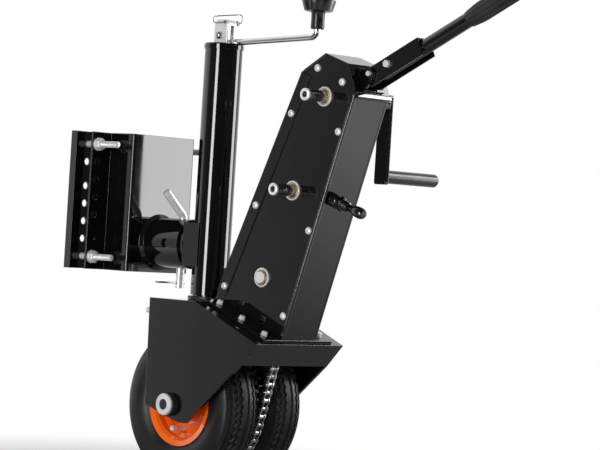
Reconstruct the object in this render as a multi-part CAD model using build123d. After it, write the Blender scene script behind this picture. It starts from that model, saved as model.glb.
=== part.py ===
from build123d import *
import os
from math import asin, atan2, cos, degrees, hypot, pi, radians, sin, sqrt, tan

# Trailer dolly: a jack clamped to a trailer's frame, with a chain-driven twin-wheel unit under it.
# Sizes are in millimetres. The model is drawn with the jack's axis at x = y = 0 and the
# ground at z = 0; +X is the operator's side and the axle lies along Y. Each piece is then moved
# so that the origin sits at the centre of the bracket's free clamping holes.

# Driving sizes of the wheel unit
AXLE_X = 25.0
TYRE_R = 117.0
TYRE_W = 69.0
WHEEL_Y = 46.0
RIM_R = 62.0
AXLE_R = 10.0
VALVE_R = 37.0
VALVE_TURN = 100.0
FRAME_HALF = 93.0
FRAME_PLATE = 5.0
FRAME_TOP_Z = 272.0
FRAME_FRONT_X = -31.0
FRAME_FRONT_FOOT = (-28.0, 113.0)
FRAME_KNEE = (195.0, 218.0)
KING_R = 10.0
FRAME_CREST_X = 66.0
SKIRT_FOOT = (165.0, 185.0)
PLATE_TIP = (52.0, 92.0)

# Driving sizes of the chain drive
CHAIN_PITCH = 12.7
ROLLER_R = 3.96
WHEEL_TEETH = 48
OUTPUT_TEETH = 17
CHAIN_LINKS = 70
DRIVE_LEAN = 31.4
INNER_PITCH = 9.525
INNER_ROLLER_R = 2.54
SMALL_TEETH = 12
LARGE_TEETH = 24
STAGE_ONE_Y = 0.0
STAGE_TWO_Y = 20.0
COLLAR_Y = -20.0
PLUNGER_NOTCH = -50.5

# Driving sizes of the gearbox
BOX_HALF = 36.4
BOX_SHEET = 3.0
COVER_SHEET = 1.5
INPUT_AT = (246.7, 578.7)
MIDDLE_AT = (195.2, 441.8)
FRONT_TOP = (201.8, 614.8)
ROOF_PEAK = (243.6, 639.2)
ROOF_KNEE = (286.9, 624.8)
REAR_TOP = (305.3, 583.1)
REAR_EDGE_LEAN = 17.7
FRONT_EDGE_LEAN = 24.0
FOOT_SHEET = 4.0
DECK_SLOT = (30.0, 172.0)
SHAFT_R = 8.5
STUB_LENGTH = 42.0
DRIVE_CRANK_Y = 97.0
DRIVE_CRANK_RADIUS = 107.0

# Driving sizes of the jack
TUBE_R = 28.5
TUBE_TOP_Z = 653.5
TUBE_FOOT_Z = 279.0
INNER_TUBE_R = 25.0
TUBE_WALL = 3.0
JACK_CRANK_RADIUS = 190.0
ROD_R = 5.0
ROD_START = (31.5, 661.6)
ROD_END_Z = 668.6
ROD_PIVOT = (-1.0, 671.5)
LOCK_PIN_AT = (9.5, 691.5)
HEAD_TOP_Z = 696.0
PIN_FOOT_Z = 286.0

# Driving sizes of the swivel mount and the bracket
SWIVEL_Z = 354.0
SLEEVE_R = 38.0
SLEEVE_WALL = 4.0
SLEEVE_END_X = -38.0
PIN_X = -65.0
PIN_R = 6.35
CROWN_X = -116.0
FLANGE_X = -168.0
CROWN_HALF = 65.0
BRACKET_TOP = 517.0
BRACKET_FOOT = 307.0
BRACKET_BEND = 4.5
BRACKET_SHEET = 4.0
HOLE_Y = 91.0
HOLE_R = 5.5
HOLE_STEPS = (27.0, 27.0, 27.0, 27.0, 37.0, 27.0)
CLAMP_GAP = 22.0

# Driving sizes of the steering handle
HINGE_AT = (312.0, 613.5)
HANDLE_TILT = 26.3
CHANNEL_HALF = 14.0
CHANNEL_DEPTH = 27.0
CHANNEL_LENGTH = 104.0
SOCKET_BOLT_X = 34.0
BAR_R = 11.0
BAR_Z = -3.8
GRIP_START = 183.0
GRIP_LENGTH = 120.0

PART_ORIGIN = (FLANGE_X - BRACKET_SHEET, 0.0, (BRACKET_TOP + BRACKET_FOOT) / 2)
CLEARANCE = 0.4
RUNNING = 0.05
STANDS_ON = (Align.CENTER, Align.CENTER, Align.MIN)


# Small drawing helpers

def slab(points, y_low, y_high):
    """A plate with an outline in XZ, between two Y levels."""
    outline = make_face(Polyline(*points, close=True))
    return extrude(Plane.XZ.offset(-y_high) * outline, amount=y_high - y_low)


def rod_y(x, z, radius, y_low, y_high):
    """A round bar along Y."""
    return Pos(x, (y_low + y_high) / 2, z) * Rot(90, 0, 0) * Cylinder(radius, y_high - y_low)


def rod_z(x, y, radius, z_low, z_high):
    """A round bar along Z."""
    return Pos(x, y, (z_low + z_high) / 2) * Cylinder(radius, z_high - z_low)


def rod_x(y, z, radius, x_low, x_high):
    """A round bar along X."""
    return Pos((x_low + x_high) / 2, y, z) * Rot(0, 90, 0) * Cylinder(radius, x_high - x_low)


def block(x_low, x_high, y_low, y_high, z_low, z_high):
    """A rectangular block between two corners."""
    centre = Pos((x_low + x_high) / 2, (y_low + y_high) / 2, (z_low + z_high) / 2)
    return centre * Box(x_high - x_low, y_high - y_low, z_high - z_low)


def hexagon_bar(location, across_flats, length):
    """A hexagon head or nut that stands on a plane, along its +Z."""
    face = RegularPolygon(across_flats / 2, 6, major_radius=False)
    return location * extrude(face, amount=length)


def along(start, end, distance, side=0.0):
    """The point a distance along a line in XZ, moved sideways to its left."""
    length = hypot(end[0] - start[0], end[1] - start[1])
    ux = (end[0] - start[0]) / length
    uz = (end[1] - start[1]) / length
    return (start[0] + ux * distance - uz * side, start[1] + uz * distance + ux * side)


def crossing(start, end, other_start, other_end):
    """The point where two lines in XZ meet."""
    dx, dz = end[0] - start[0], end[1] - start[1]
    ex, ez = other_end[0] - other_start[0], other_end[1] - other_start[1]
    gap = (other_start[0] - start[0], other_start[1] - start[1])
    share = (gap[0] * ez - gap[1] * ex) / (dx * ez - dz * ex)
    return (start[0] + share * dx, start[1] + share * dz)


def bent_sheet(points, thickness, y_low, y_high):
    """A folded sheet: an open path in XZ, thickened to the right of its direction."""
    offset_points = []
    for index, point in enumerate(points):
        before = points[max(index - 1, 0)]
        after = points[min(index + 1, len(points) - 1)]
        into = (point[0] - before[0], point[1] - before[1])
        out = (after[0] - point[0], after[1] - point[1])
        if index == 0:
            into = out
        if index == len(points) - 1:
            out = into
        normals = []
        for dx, dz in (into, out):
            length = hypot(dx, dz)
            normals.append((dz / length, -dx / length))
        nx = normals[0][0] + normals[1][0]
        nz = normals[0][1] + normals[1][1]
        scale = 2 * thickness / (nx * nx + nz * nz)
        offset_points.append((point[0] + nx * scale, point[1] + nz * scale))
    return slab(list(points) + offset_points[::-1], y_low, y_high)


def ring(points):
    """A solid of revolution about Z from (radius, height) points."""
    return revolve(Plane.XZ * make_face(Polyline(*points, close=True)), Axis.Z)


# Chain drive

def pitch_radius(teeth, pitch):
    return pitch / (2 * sin(pi / teeth))


def sprocket(teeth, pitch, roller_r, thickness, first_gap):
    """A toothed disc in XZ, centred on y = 0, with one roller seat at first_gap degrees."""
    radius = pitch_radius(teeth, pitch)
    tip = pitch * (0.6 + 1 / tan(pi / teeth)) / 2 - radius
    half_tooth = 0.1 * pitch
    seat = roller_r + 0.15
    shape = ((-1.03 * seat, -0.3 * seat), (-0.5 * seat, -0.98 * seat),
             (0.5 * seat, -0.98 * seat), (1.03 * seat, -0.3 * seat),
             (pitch / 2 - half_tooth, tip), (pitch / 2 + half_tooth, tip))
    points = []
    for tooth in range(teeth):
        turn = radians(first_gap) - 2 * pi * tooth / teeth
        for sideways, outward in shape:
            angle = turn - sideways / radius
            points.append(((radius + outward) * cos(angle), (radius + outward) * sin(angle)))
    return slab(points, -thickness / 2, thickness / 2)


def drive_distance():
    """The centre distance at which the closed chain is exactly tight."""
    big = pitch_radius(WHEEL_TEETH, CHAIN_PITCH)
    small = pitch_radius(OUTPUT_TEETH, CHAIN_PITCH)
    low, high = 200.0, 260.0
    for _ in range(50):
        centre = (low + high) / 2
        spread = asin((big - small) / centre)
        straight = sqrt(centre ** 2 - (big - small) ** 2) / CHAIN_PITCH
        wraps = (WHEEL_TEETH * (pi + 2 * spread) + OUTPUT_TEETH * (pi - 2 * spread)) / (2 * pi)
        if 2 * straight + wraps < CHAIN_LINKS:
            low = centre
        else:
            high = centre
    return centre


AXLE_Z = TYRE_R
DRIVE_C = drive_distance()
OUTPUT_AT = (AXLE_X + DRIVE_C * sin(radians(DRIVE_LEAN)), AXLE_Z + DRIVE_C * cos(radians(DRIVE_LEAN)))


def drive_rollers():
    """The roller centres, round the wheel sprocket and then round the output sprocket."""
    big = pitch_radius(WHEEL_TEETH, CHAIN_PITCH)
    small = pitch_radius(OUTPUT_TEETH, CHAIN_PITCH)
    spread = asin((big - small) / DRIVE_C)
    line = pi / 2 - radians(DRIVE_LEAN)
    straight = sqrt(DRIVE_C ** 2 - (big - small) ** 2) / CHAIN_PITCH
    big_wrap = WHEEL_TEETH * (pi + 2 * spread) / (2 * pi)
    small_wrap = OUTPUT_TEETH * (pi - 2 * spread) / (2 * pi)
    leave_big = line - pi / 2 + spread
    start_big = line + pi / 2 - spread
    centres = []
    for link in range(CHAIN_LINKS):
        count = link + 0.5
        if count < big_wrap:
            angle = start_big + 2 * pi * count / WHEEL_TEETH
            centres.append((AXLE_X + big * cos(angle), AXLE_Z + big * sin(angle)))
            continue
        count -= big_wrap
        if count < straight:
            start = (AXLE_X + big * cos(leave_big), AXLE_Z + big * sin(leave_big))
            end = (OUTPUT_AT[0] + small * cos(leave_big), OUTPUT_AT[1] + small * sin(leave_big))
            centres.append(along(start, end, count * CHAIN_PITCH))
            continue
        count -= straight
        if count < small_wrap:
            angle = leave_big + 2 * pi * count / OUTPUT_TEETH
            centres.append((OUTPUT_AT[0] + small * cos(angle), OUTPUT_AT[1] + small * sin(angle)))
            continue
        count -= small_wrap
        start = (OUTPUT_AT[0] + small * cos(start_big), OUTPUT_AT[1] + small * sin(start_big))
        end = (AXLE_X + big * cos(start_big), AXLE_Z + big * sin(start_big))
        centres.append(along(start, end, count * CHAIN_PITCH))
    return centres


def link_plate(pitch, half_height, y_low, y_high):
    """A chain's link plate, drawn level about its middle."""
    ends = [(pitch / 2 + half_height * cos(radians(a)), half_height * sin(radians(a)))
            for a in (-67.5, -22.5, 22.5, 67.5)]
    points = ends + [(-x, z) for x, z in ends[::-1]]
    return slab(points, y_low, y_high)


def drive_chain():
    """Inner links with their rollers, and outer plates, each a solid of its own."""
    half_inside = 3.95
    plate = 1.5
    height = 5.6
    inner = link_plate(CHAIN_PITCH, height, half_inside, half_inside + plate)
    inner += link_plate(CHAIN_PITCH, height, -half_inside - plate, -half_inside)
    for side in (-1, 1):
        roller = Plane.XZ * RegularPolygon(ROLLER_R, 8)
        inner += Pos(side * CHAIN_PITCH / 2, half_inside, 0) * extrude(roller, amount=2 * half_inside)
    outer_low = half_inside + plate
    outer = [link_plate(CHAIN_PITCH, height - 0.6, outer_low, outer_low + plate),
             link_plate(CHAIN_PITCH, height - 0.6, -outer_low - plate, -outer_low)]
    centres = drive_rollers()
    links = []
    for index, start in enumerate(centres):
        end = centres[(index + 1) % len(centres)]
        middle = ((start[0] + end[0]) / 2, (start[1] + end[1]) / 2)
        turn = degrees(atan2(end[1] - start[1], end[0] - start[0]))
        place = Pos(middle[0], 0, middle[1]) * Rot(0, -turn, 0)
        for solid in ([inner] if index % 2 == 0 else outer):
            links.append(place * solid)
    return links


def chain_band(top, foot, top_radius, foot_radius, y_middle):
    """One inner chain: two rows of link plates, with rollers across on its straight runs."""
    def loop(grow):
        centre = hypot(top[0] - foot[0], top[1] - foot[1])
        line = atan2(top[1] - foot[1], top[0] - foot[0])
        spread = asin((foot_radius - top_radius) / centre)
        points = []
        for (x, z), radius, first, sweep in (
                (foot, foot_radius + grow, line + pi / 2 - spread, pi + 2 * spread),
                (top, top_radius + grow, line - pi / 2 + spread, pi - 2 * spread)):
            steps = max(6, round(radius / 3.5))
            for step in range(steps + 1):
                angle = first + sweep * step / steps
                points.append((x + radius * cos(angle), z + radius * sin(angle)))
        return points

    half_plate = 4.1
    rows = []
    for side in (-1, 1):
        near = y_middle + side * 3.0
        far = y_middle + side * 4.2
        rows.append(slab(loop(half_plate), min(near, far), max(near, far))
                    - slab(loop(-half_plate), min(near, far), max(near, far)))
    band = rows[0] + rows[1]
    centre = hypot(top[0] - foot[0], top[1] - foot[1])
    line = atan2(top[1] - foot[1], top[0] - foot[0])
    spread = asin((foot_radius - top_radius) / centre)
    run = centre * cos(spread)
    for side in (-1, 1):
        angle = line + side * (pi / 2 - spread)
        start = (foot[0] + foot_radius * cos(angle), foot[1] + foot_radius * sin(angle))
        end = (top[0] + top_radius * cos(angle), top[1] + top_radius * sin(angle))
        rollers = int(run / INNER_PITCH) - 3
        for step in range(rollers):
            x, z = along(start, end, run / 2 + (step - (rollers - 1) / 2) * INNER_PITCH)
            roller = Plane.XZ * RegularPolygon(INNER_ROLLER_R, 6)
            band += Pos(x, y_middle + 3.2, z) * extrude(roller, amount=6.4)
    return band


# Wheels and axle

def wheel_place(side):
    """Moves a wheel drawn about Z, outboard side up, to its place on the axle."""
    return Pos(AXLE_X, side * WHEEL_Y, AXLE_Z) * Rot(-90 * side, 0, 0)


def tyre(side):
    """A pneumatic tyre's casing, with three grooves round its tread and its beads on the rim."""
    half = TYRE_W / 2
    outer = [(52.0, 13.0), (52.0, 21.0), (55.0, 24.6), (62.0, 26.4), (70.0, 31.5), (86.0, half),
             (98.0, 33.0), (108.0, 28.0), (114.6, 19.0), (112.0, 18.0), (112.2, 14.6),
             (116.2, 13.6), (TYRE_R, 5.2), (113.6, 4.2)]
    inner = [(59.0, 18.0), (74.0, 26.5), (92.0, 27.0), (107.0, 14.0)]
    section = outer + [(r, -z) for r, z in outer[::-1]] + [(r, -z) for r, z in inner] + inner[::-1]
    return wheel_place(side) * ring(section)


def rim(side):
    """A pressed steel rim with a dished disc, its hub tube and the valve's hole."""
    half = [(46.0, 0.0), (46.0, 7.0), (52.0, 12.0), (52.0, 21.0), (55.0, 24.6), (RIM_R, 26.4),
            (RIM_R, 28.4), (54.0, 26.6), (50.0, 22.0), (50.0, 13.0), (44.0, 8.0), (44.0, 0.0)]
    shell = ring(half) + ring([(r, -z) for r, z in half])
    disc = ring([(22.0, 2.0), (30.0, 4.0), (38.0, 3.0), (44.0, 0.0), (44.0, 3.0), (38.0, 6.0),
                 (30.0, 7.0), (22.0, 5.0)])
    hub = ring([(AXLE_R, -26.0), (22.0, -26.0), (22.0, 30.0), (18.0, 34.0), (AXLE_R, 34.0)])
    body = shell + disc + hub
    body -= Rot(0, 0, VALVE_TURN * side) * Pos(VALVE_R, 0, 5.0) * Cylinder(4.4, 16)
    return wheel_place(side) * body


def valve(side):
    """The valve stem, which comes out through the rim's disc."""
    stem = ring([(0, -2.0), (4.4, -2.0), (4.4, 9.0), (3.2, 11.0), (3.2, 24.0), (4.2, 24.0),
                 (4.2, 32.0), (3.0, 34.0), (0, 34.0)])
    return wheel_place(side) * Rot(0, 0, VALVE_TURN * side) * Pos(VALVE_R, 0, 0) * stem


def axle():
    """The live axle, stepped down for the end rings."""
    body = rod_y(AXLE_X, AXLE_Z, AXLE_R, -FRAME_HALF - 7, FRAME_HALF + 7)
    body += rod_y(AXLE_X, AXLE_Z, 8.0, -FRAME_HALF - 12, FRAME_HALF + 12)
    return body


def axle_housings():
    """The two flanged bearing housings, which stand out of the side plates."""
    parts = []
    for side in (-1, 1):
        outline = ring([(AXLE_R + RUNNING, -11.0), (19.0, -11.0), (19.0, -FRAME_PLATE),
                        (17.0, -FRAME_PLATE), (17.0, 8.0), (AXLE_R + RUNNING, 8.0)])
        parts.append(Pos(AXLE_X, side * FRAME_HALF, AXLE_Z) * Rot(-90 * side, 0, 0) * outline)
    return parts


def axle_rings():
    """The zinc-plated rings on the axle's ends."""
    parts = []
    for side in (-1, 1):
        collar = ring([(8.0, 8.4), (14.8, 8.4), (16.0, 9.6), (16.0, 12.4), (14.8, 13.6), (8.0, 13.6)])
        parts.append(Pos(AXLE_X, side * FRAME_HALF, AXLE_Z) * Rot(-90 * side, 0, 0) * collar)
    return parts


def wheel_sprocket():
    """The large sprocket between the tyres, on its hub, with windows cut in its disc."""
    first = drive_rollers()[0]
    gap = degrees(atan2(first[1] - AXLE_Z, first[0] - AXLE_X))
    disc = sprocket(WHEEL_TEETH, CHAIN_PITCH, ROLLER_R, 7.0, gap)
    for window in range(6):
        angle = radians(30 + 60 * window)
        disc -= rod_y(62 * cos(angle), 62 * sin(angle), 17.0, -8, 8)
    disc += rod_y(0, 0, 24.0, -15.6, 15.6)
    disc -= rod_y(0, 0, AXLE_R, -16, 16)
    return Pos(AXLE_X, 0, AXLE_Z) * disc


# Wheel frame

def frame_side(side):
    """A side plate, cut to the frame's outline, with rounded corners and the axle's hole."""
    corners = [FRAME_FRONT_FOOT, (FRAME_FRONT_X, FRAME_TOP_Z), (FRAME_CREST_X, FRAME_TOP_Z),
               FRAME_KNEE, SKIRT_FOOT, (PLATE_TIP[0] + 9, PLATE_TIP[1]), (PLATE_TIP[0] - 8, PLATE_TIP[1])]
    outer = side * FRAME_HALF
    inner = side * (FRAME_HALF - FRAME_PLATE)
    plate = slab(corners, min(outer, inner), max(outer, inner))
    low = plate.edges().filter_by(Axis.Y).sort_by(Axis.Z)[:3]
    plate = fillet(low, 6.0)
    return plate - rod_y(AXLE_X, AXLE_Z, 17.0, min(outer, inner) - 1, max(outer, inner) + 1)


def frame_top_plate():
    """The folded plate between the side plates: front lip, flat top, slope and rear skirt."""
    half = FRAME_HALF - FRAME_PLATE
    path = [(FRAME_FRONT_X, 230.0), (FRAME_FRONT_X, FRAME_TOP_Z), (FRAME_CREST_X, FRAME_TOP_Z),
            FRAME_KNEE, SKIRT_FOOT]
    plate = bent_sheet(path, FRAME_PLATE, -half, half)
    plate -= block(*DECK_SLOT, -12, 12, 222, 280)
    plate -= rod_z(0, 0, KING_R + RUNNING, 260, 280)
    for y in (-76, 76):
        plate -= rod_x(y, 252, 4.2, -40, -20)
    for x, z in base_bolt_points():
        for y in (-58, 58):
            plate -= slope_place(x, z, y) * Cylinder(4.2, 20)
    return plate


def slope_place(x, z, y):
    """A plane on the frame's slope, its Z square to the slope."""
    fall = degrees(atan2(FRAME_TOP_Z - FRAME_KNEE[1], FRAME_KNEE[0] - FRAME_CREST_X))
    return Pos(x, y, z) * Rot(0, fall, 0)


def base_bolt_points():
    return [along(CREST, FRAME_KNEE, distance) for distance in (15.0, 66.0, 117.0)]


def frame_bolts():
    """The six bolts of the gearbox's foot and the two of the front lip, with their washers."""
    parts = []
    for x, z in base_bolt_points():
        for y in (-58, 58):
            place = slope_place(x, z, y)
            bolt = Pos(0, 0, 4.9) * Cylinder(8.0, 1.6)
            bolt += hexagon_bar(Pos(0, 0, 5.6), 13.0, 5.4)
            bolt += Pos(0, 0, -6) * Cylinder(4.0, 20.5)
            parts.append(place * bolt)
    for y in (-76, 76):
        bolt = rod_x(y, 252, 4.0, -53, -20)
        bolt += hexagon_bar(Pos(FRAME_FRONT_X, y, 252) * Rot(0, -90, 0), 13.0, 7.0)
        parts.append(bolt)
    return parts


# Gearbox

CREST = (FRAME_CREST_X, FRAME_TOP_Z)
FOOT_LINE = (along(CREST, FRAME_KNEE, 0.0, FOOT_SHEET), along(CREST, FRAME_KNEE, 100.0, FOOT_SHEET))
DECK_LINE = ((0.0, FRAME_TOP_Z + FOOT_SHEET), (100.0, FRAME_TOP_Z + FOOT_SHEET))
FRONT_LEAN = tan(radians(FRONT_EDGE_LEAN))
REAR_LEAN = tan(radians(REAR_EDGE_LEAN))
FRONT_FOOT = crossing(FRONT_TOP, (FRONT_TOP[0] - FRONT_LEAN, FRONT_TOP[1] - 1.0), *DECK_LINE)
REAR_FOOT = crossing(REAR_TOP, (REAR_TOP[0] - REAR_LEAN, REAR_TOP[1] - 1.0), *FOOT_LINE)
FOOT_CORNER = crossing(*FOOT_LINE, *DECK_LINE)


def box_outline():
    """The side plates' outline, from the front edge's foot round to the bend in the foot's sheet."""
    return [FRONT_FOOT, FRONT_TOP, ROOF_PEAK, ROOF_KNEE, REAR_TOP, REAR_FOOT, FOOT_CORNER]


def shaft_points():
    return (INPUT_AT, MIDDLE_AT, OUTPUT_AT)


def gearbox_side(side):
    """A side plate with its three bushing holes."""
    outer = side * BOX_HALF
    inner = side * (BOX_HALF - BOX_SHEET)
    plate = slab(box_outline(), min(outer, inner), max(outer, inner))
    for x, z in shaft_points():
        plate -= rod_y(x, z, 12.0, min(outer, inner) - 1, max(outer, inner) + 1)
    return plate


def gearbox_front_cover():
    """The front cover: a channel whose flanges lap over both side plates, notched for the chain."""
    strip = 17.0
    outside = 2.0
    top = FRONT_TOP
    low = along(FRONT_FOOT, FRONT_TOP, 13.0)
    length = hypot(top[0] - low[0], top[1] - low[1])
    outer = [along(low, top, 0, outside), along(low, top, length, outside),
             along(low, top, length, -strip), along(low, top, 0, -strip)]
    inner = [along(low, top, -5), along(low, top, length + 5),
             along(low, top, length + 5, -strip - 5), along(low, top, -5, -strip - 5)]
    half = BOX_HALF + COVER_SHEET
    cover = slab(outer, -half, half) - slab(inner, -BOX_HALF, BOX_HALF)
    return cover - block(30, 80, -12, 12, 270, 300)


def gearbox_roof():
    """The roof sheet, folded over the peak and down the steep rear face to its hem."""
    rear = along(ROOF_KNEE, REAR_TOP, 44.0)
    roof = bent_sheet([FRONT_TOP, ROOF_PEAK, ROOF_KNEE, rear], -2.0, -BOX_HALF, BOX_HALF)
    return roof


def gearbox_rear_cover():
    """The rear cover between the side plates, with its top hem and the plunger's hole."""
    half = BOX_HALF - BOX_SHEET
    start = along(REAR_TOP, REAR_FOOT, 3.0)
    cover = bent_sheet([start, along(REAR_FOOT, REAR_TOP, 0.3)], 2.5, -half, half)
    hem = bent_sheet([along(REAR_TOP, REAR_FOOT, 0.5, 2.2), along(REAR_TOP, REAR_FOOT, 7.5, 2.2)],
                     2.2, -BOX_HALF, BOX_HALF)
    cover += hem
    return cover - plunger_place() * Cylinder(8.0, 20)


def gearbox_base_flange():
    """The foot flange welded under the box, which lies on the frame's slope."""
    path = [(46.0, FRAME_TOP_Z), CREST, along(CREST, FRAME_KNEE, 134.0)]
    flange = bent_sheet(path, -FOOT_SHEET, -72, 72)
    flange -= block(60, DECK_SLOT[1], -26, 26, 222, 290)
    flange -= block(40, 65, -12, 12, 260, 290)
    for x, z in base_bolt_points():
        for y in (-58, 58):
            flange -= slope_place(x, z, y) * Cylinder(4.2, 20)
    return flange


def screw_points():
    """The cover screws: four down the front flange, three down the rear edge, one at the peak."""
    front = hypot(FRONT_TOP[0] - FRONT_FOOT[0], FRONT_TOP[1] - FRONT_FOOT[1])
    rear = hypot(REAR_FOOT[0] - REAR_TOP[0], REAR_FOOT[1] - REAR_TOP[1])
    points = [along(FRONT_FOOT, FRONT_TOP, front * part, -9.0) for part in (0.07, 0.43, 0.83)]
    points += [along(REAR_TOP, REAR_FOOT, rear * part, -10.0) for part in (0.16, 0.56, 0.91)]
    points += [along(FRONT_TOP, ROOF_PEAK, 27.0, -10.0), along(ROOF_KNEE, REAR_TOP, 20.0, -17.0)]
    return points


def cover_screws():
    """Pan-head screws through the side plates."""
    parts = []
    for side in (-1, 1):
        for index, (x, z) in enumerate(screw_points()):
            seat = COVER_SHEET if index < 3 else 0.0
            place = Pos(x, side * (BOX_HALF + seat), z) * Rot(-90 * side, 0, 0)
            parts.append(place * ring([(0, -4.5), (2.0, -4.5), (2.0, 0), (5.6, 0), (5.2, 1.8),
                                       (3.4, 3.4), (0, 3.8)]))
    return parts


def drill_screw_holes(plate, side):
    """Clearance holes for the screws in a side plate or a cover."""
    for x, z in screw_points():
        plate -= rod_y(x, z, 2.0, side * BOX_HALF - 6, side * BOX_HALF + 6)
    return plate


def shaft_bushings():
    """A flanged bronze bushing at each end of each shaft."""
    parts = []
    for side in (-1, 1):
        for x, z in shaft_points():
            bush = ring([(SHAFT_R + RUNNING, -6.0), (12.0, -6.0), (12.0, 0), (14.5, 0), (14.5, 2.4),
                         (12.0, 3.6), (SHAFT_R + RUNNING, 3.6)])
            parts.append(Pos(x, side * BOX_HALF, z) * Rot(-90 * side, 0, 0) * bush)
    return parts


def shaft(at, left, right, socket):
    """A shaft along Y, with a hollow end at its left where a drill's driver goes in."""
    x, z = at
    body = rod_y(x, z, SHAFT_R, left, right)
    if socket:
        body -= rod_y(x, z, 4.4, left - 1, left + 14)
    return body


def input_shaft():
    body = shaft(INPUT_AT, -BOX_HALF - STUB_LENGTH, DRIVE_CRANK_Y + 4, True)
    return body


def middle_shaft():
    body = shaft(MIDDLE_AT, -BOX_HALF - STUB_LENGTH, BOX_HALF + 4, True)
    body += rod_z(MIDDLE_AT[0], -BOX_HALF - 0.55 * STUB_LENGTH, 2.5, MIDDLE_AT[1] - 12, MIDDLE_AT[1] + 12)
    return body


def output_shaft():
    return shaft(OUTPUT_AT, -BOX_HALF - 5.5, BOX_HALF + 5.5, False)


def inner_sprocket(teeth, at, y, hub_r, hub_half, turn=0.0):
    """A sprocket of the inner stages on its own hub."""
    wheel = sprocket(teeth, INNER_PITCH, INNER_ROLLER_R, 5.0, turn)
    wheel += rod_y(0, 0, hub_r, -hub_half, hub_half)
    wheel -= rod_y(0, 0, SHAFT_R, -hub_half - 1, hub_half + 1)
    return Pos(at[0], y, at[1]) * wheel


def input_sprocket():
    return inner_sprocket(SMALL_TEETH, INPUT_AT, STAGE_ONE_Y, 13.0, 9.0)


def middle_sprockets():
    """The middle shaft's large and small sprockets, on one hub."""
    large = inner_sprocket(LARGE_TEETH, MIDDLE_AT, STAGE_ONE_Y, 14.0, 8.0)
    small = inner_sprocket(SMALL_TEETH, MIDDLE_AT, STAGE_TWO_Y, 13.0, 7.0)
    joint = rod_y(MIDDLE_AT[0], MIDDLE_AT[1], 13.0, 6, 14)
    joint -= rod_y(MIDDLE_AT[0], MIDDLE_AT[1], SHAFT_R, 5, 15)
    return large + small + joint


def lock_collar():
    """The collar with eight notches round its rim that the locking plunger drops into."""
    x, z = MIDDLE_AT
    collar = rod_y(x, z, 22.0, COLLAR_Y - 5, COLLAR_Y + 5)
    collar -= rod_y(x, z, SHAFT_R, COLLAR_Y - 6, COLLAR_Y + 6)
    notch = plunger_place() * Pos(0, 0, PLUNGER_NOTCH) * Cylinder(5.0, 20, align=STANDS_ON)
    shaft_line = Axis((x, 0, z), (0, 1, 0))
    for turn in range(8):
        collar -= notch.rotate(shaft_line, 45 * turn)
    return collar


def output_sprockets():
    """The output shaft's large inner sprocket and the small one that drives the wheels' chain."""
    large = inner_sprocket(LARGE_TEETH, OUTPUT_AT, STAGE_TWO_Y, 16.0, 7.0)
    rollers = drive_rollers()
    nearest = max(rollers, key=lambda point: point[1])
    gap = degrees(atan2(nearest[1] - OUTPUT_AT[1], nearest[0] - OUTPUT_AT[0]))
    small = sprocket(OUTPUT_TEETH, CHAIN_PITCH, ROLLER_R, 7.0, gap)
    small += rod_y(0, 0, 16.0, -12, 14)
    small -= rod_y(0, 0, SHAFT_R, -13, 15)
    return large + Pos(OUTPUT_AT[0], 0, OUTPUT_AT[1]) * small


def crank_arm():
    """The flat arm of the drive crank, hanging from the input shaft, with its grip's spindle."""
    x, z = INPUT_AT
    foot = z - DRIVE_CRANK_RADIUS
    half = 11.0
    arm = block(x - half, x + half, DRIVE_CRANK_Y - 4, DRIVE_CRANK_Y + 4, foot - 12, z + 13)
    arm = fillet(arm.edges().filter_by(Axis.Y), 4.0)
    arm += rod_y(x, z, 13.0, DRIVE_CRANK_Y - 16, DRIVE_CRANK_Y - 3)
    arm -= rod_y(x, z, SHAFT_R, DRIVE_CRANK_Y - 20, DRIVE_CRANK_Y + 8)
    arm += rod_y(x, foot, 5.0, DRIVE_CRANK_Y - 3, DRIVE_CRANK_Y + 116)
    return arm


def crank_grip():
    """The grip that turns on the drive crank's spindle, closed at its outer end."""
    x, z = INPUT_AT
    foot = z - DRIVE_CRANK_RADIUS
    start = 4.4
    end = 121.0
    grip = ring([(5.0 + RUNNING, start), (9.6, start), (10.0, start + 1), (10.0, end - 3), (8.2, end),
                 (0, end), (0, end - 4), (5.0 + RUNNING, end - 4)])
    return Pos(x, DRIVE_CRANK_Y, foot) * Rot(-90, 0, 0) * grip


def plunger_place():
    """The plunger's seat on the rear cover, its Z pointing out of the cover."""
    lean = degrees(atan2(REAR_TOP[0] - REAR_FOOT[0], REAR_TOP[1] - REAR_FOOT[1]))
    x, z = along(REAR_FOOT, REAR_TOP, (432.0 - REAR_FOOT[1]) / cos(radians(lean)))
    return Pos(x, COLLAR_Y, z) * Rot(0, 90 + lean, 0)


def plunger_boss():
    """The threaded sleeve of the locking plunger with its lock nut."""
    boss = ring([(5.5 + RUNNING, -8.0), (8.0 - RUNNING, -8.0), (8.0 - RUNNING, 0), (10.0, 0),
                 (10.0, 14.0), (7.6, 15.0), (7.6, 34.0), (5.5 + RUNNING, 34.0)])
    nut = hexagon_bar(Pos(0, 0, 16), 19.0, 7.0)
    nut -= Cylinder(6.5, 80)
    return plunger_place() * (boss + nut)


def plunger_pin():
    """The plunger with its black knob, held out of the collar."""
    pin = ring([(0, -40.0), (3.4, -40.0), (4.4, -38.0), (4.4, -9.0), (5.5, -8.5), (5.5, 44.0),
                (7.0, 47.0), (8.5, 53.0), (8.5, 60.0), (6.5, 65.0), (0, 66.0)])
    return plunger_place() * pin


# Steering handle

def handle_place():
    """The handle's frame: X along the handle from its hinge, Z to its upper side."""
    return Pos(HINGE_AT[0], 0, HINGE_AT[1]) * Rot(0, -HANDLE_TILT, 0)


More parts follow.
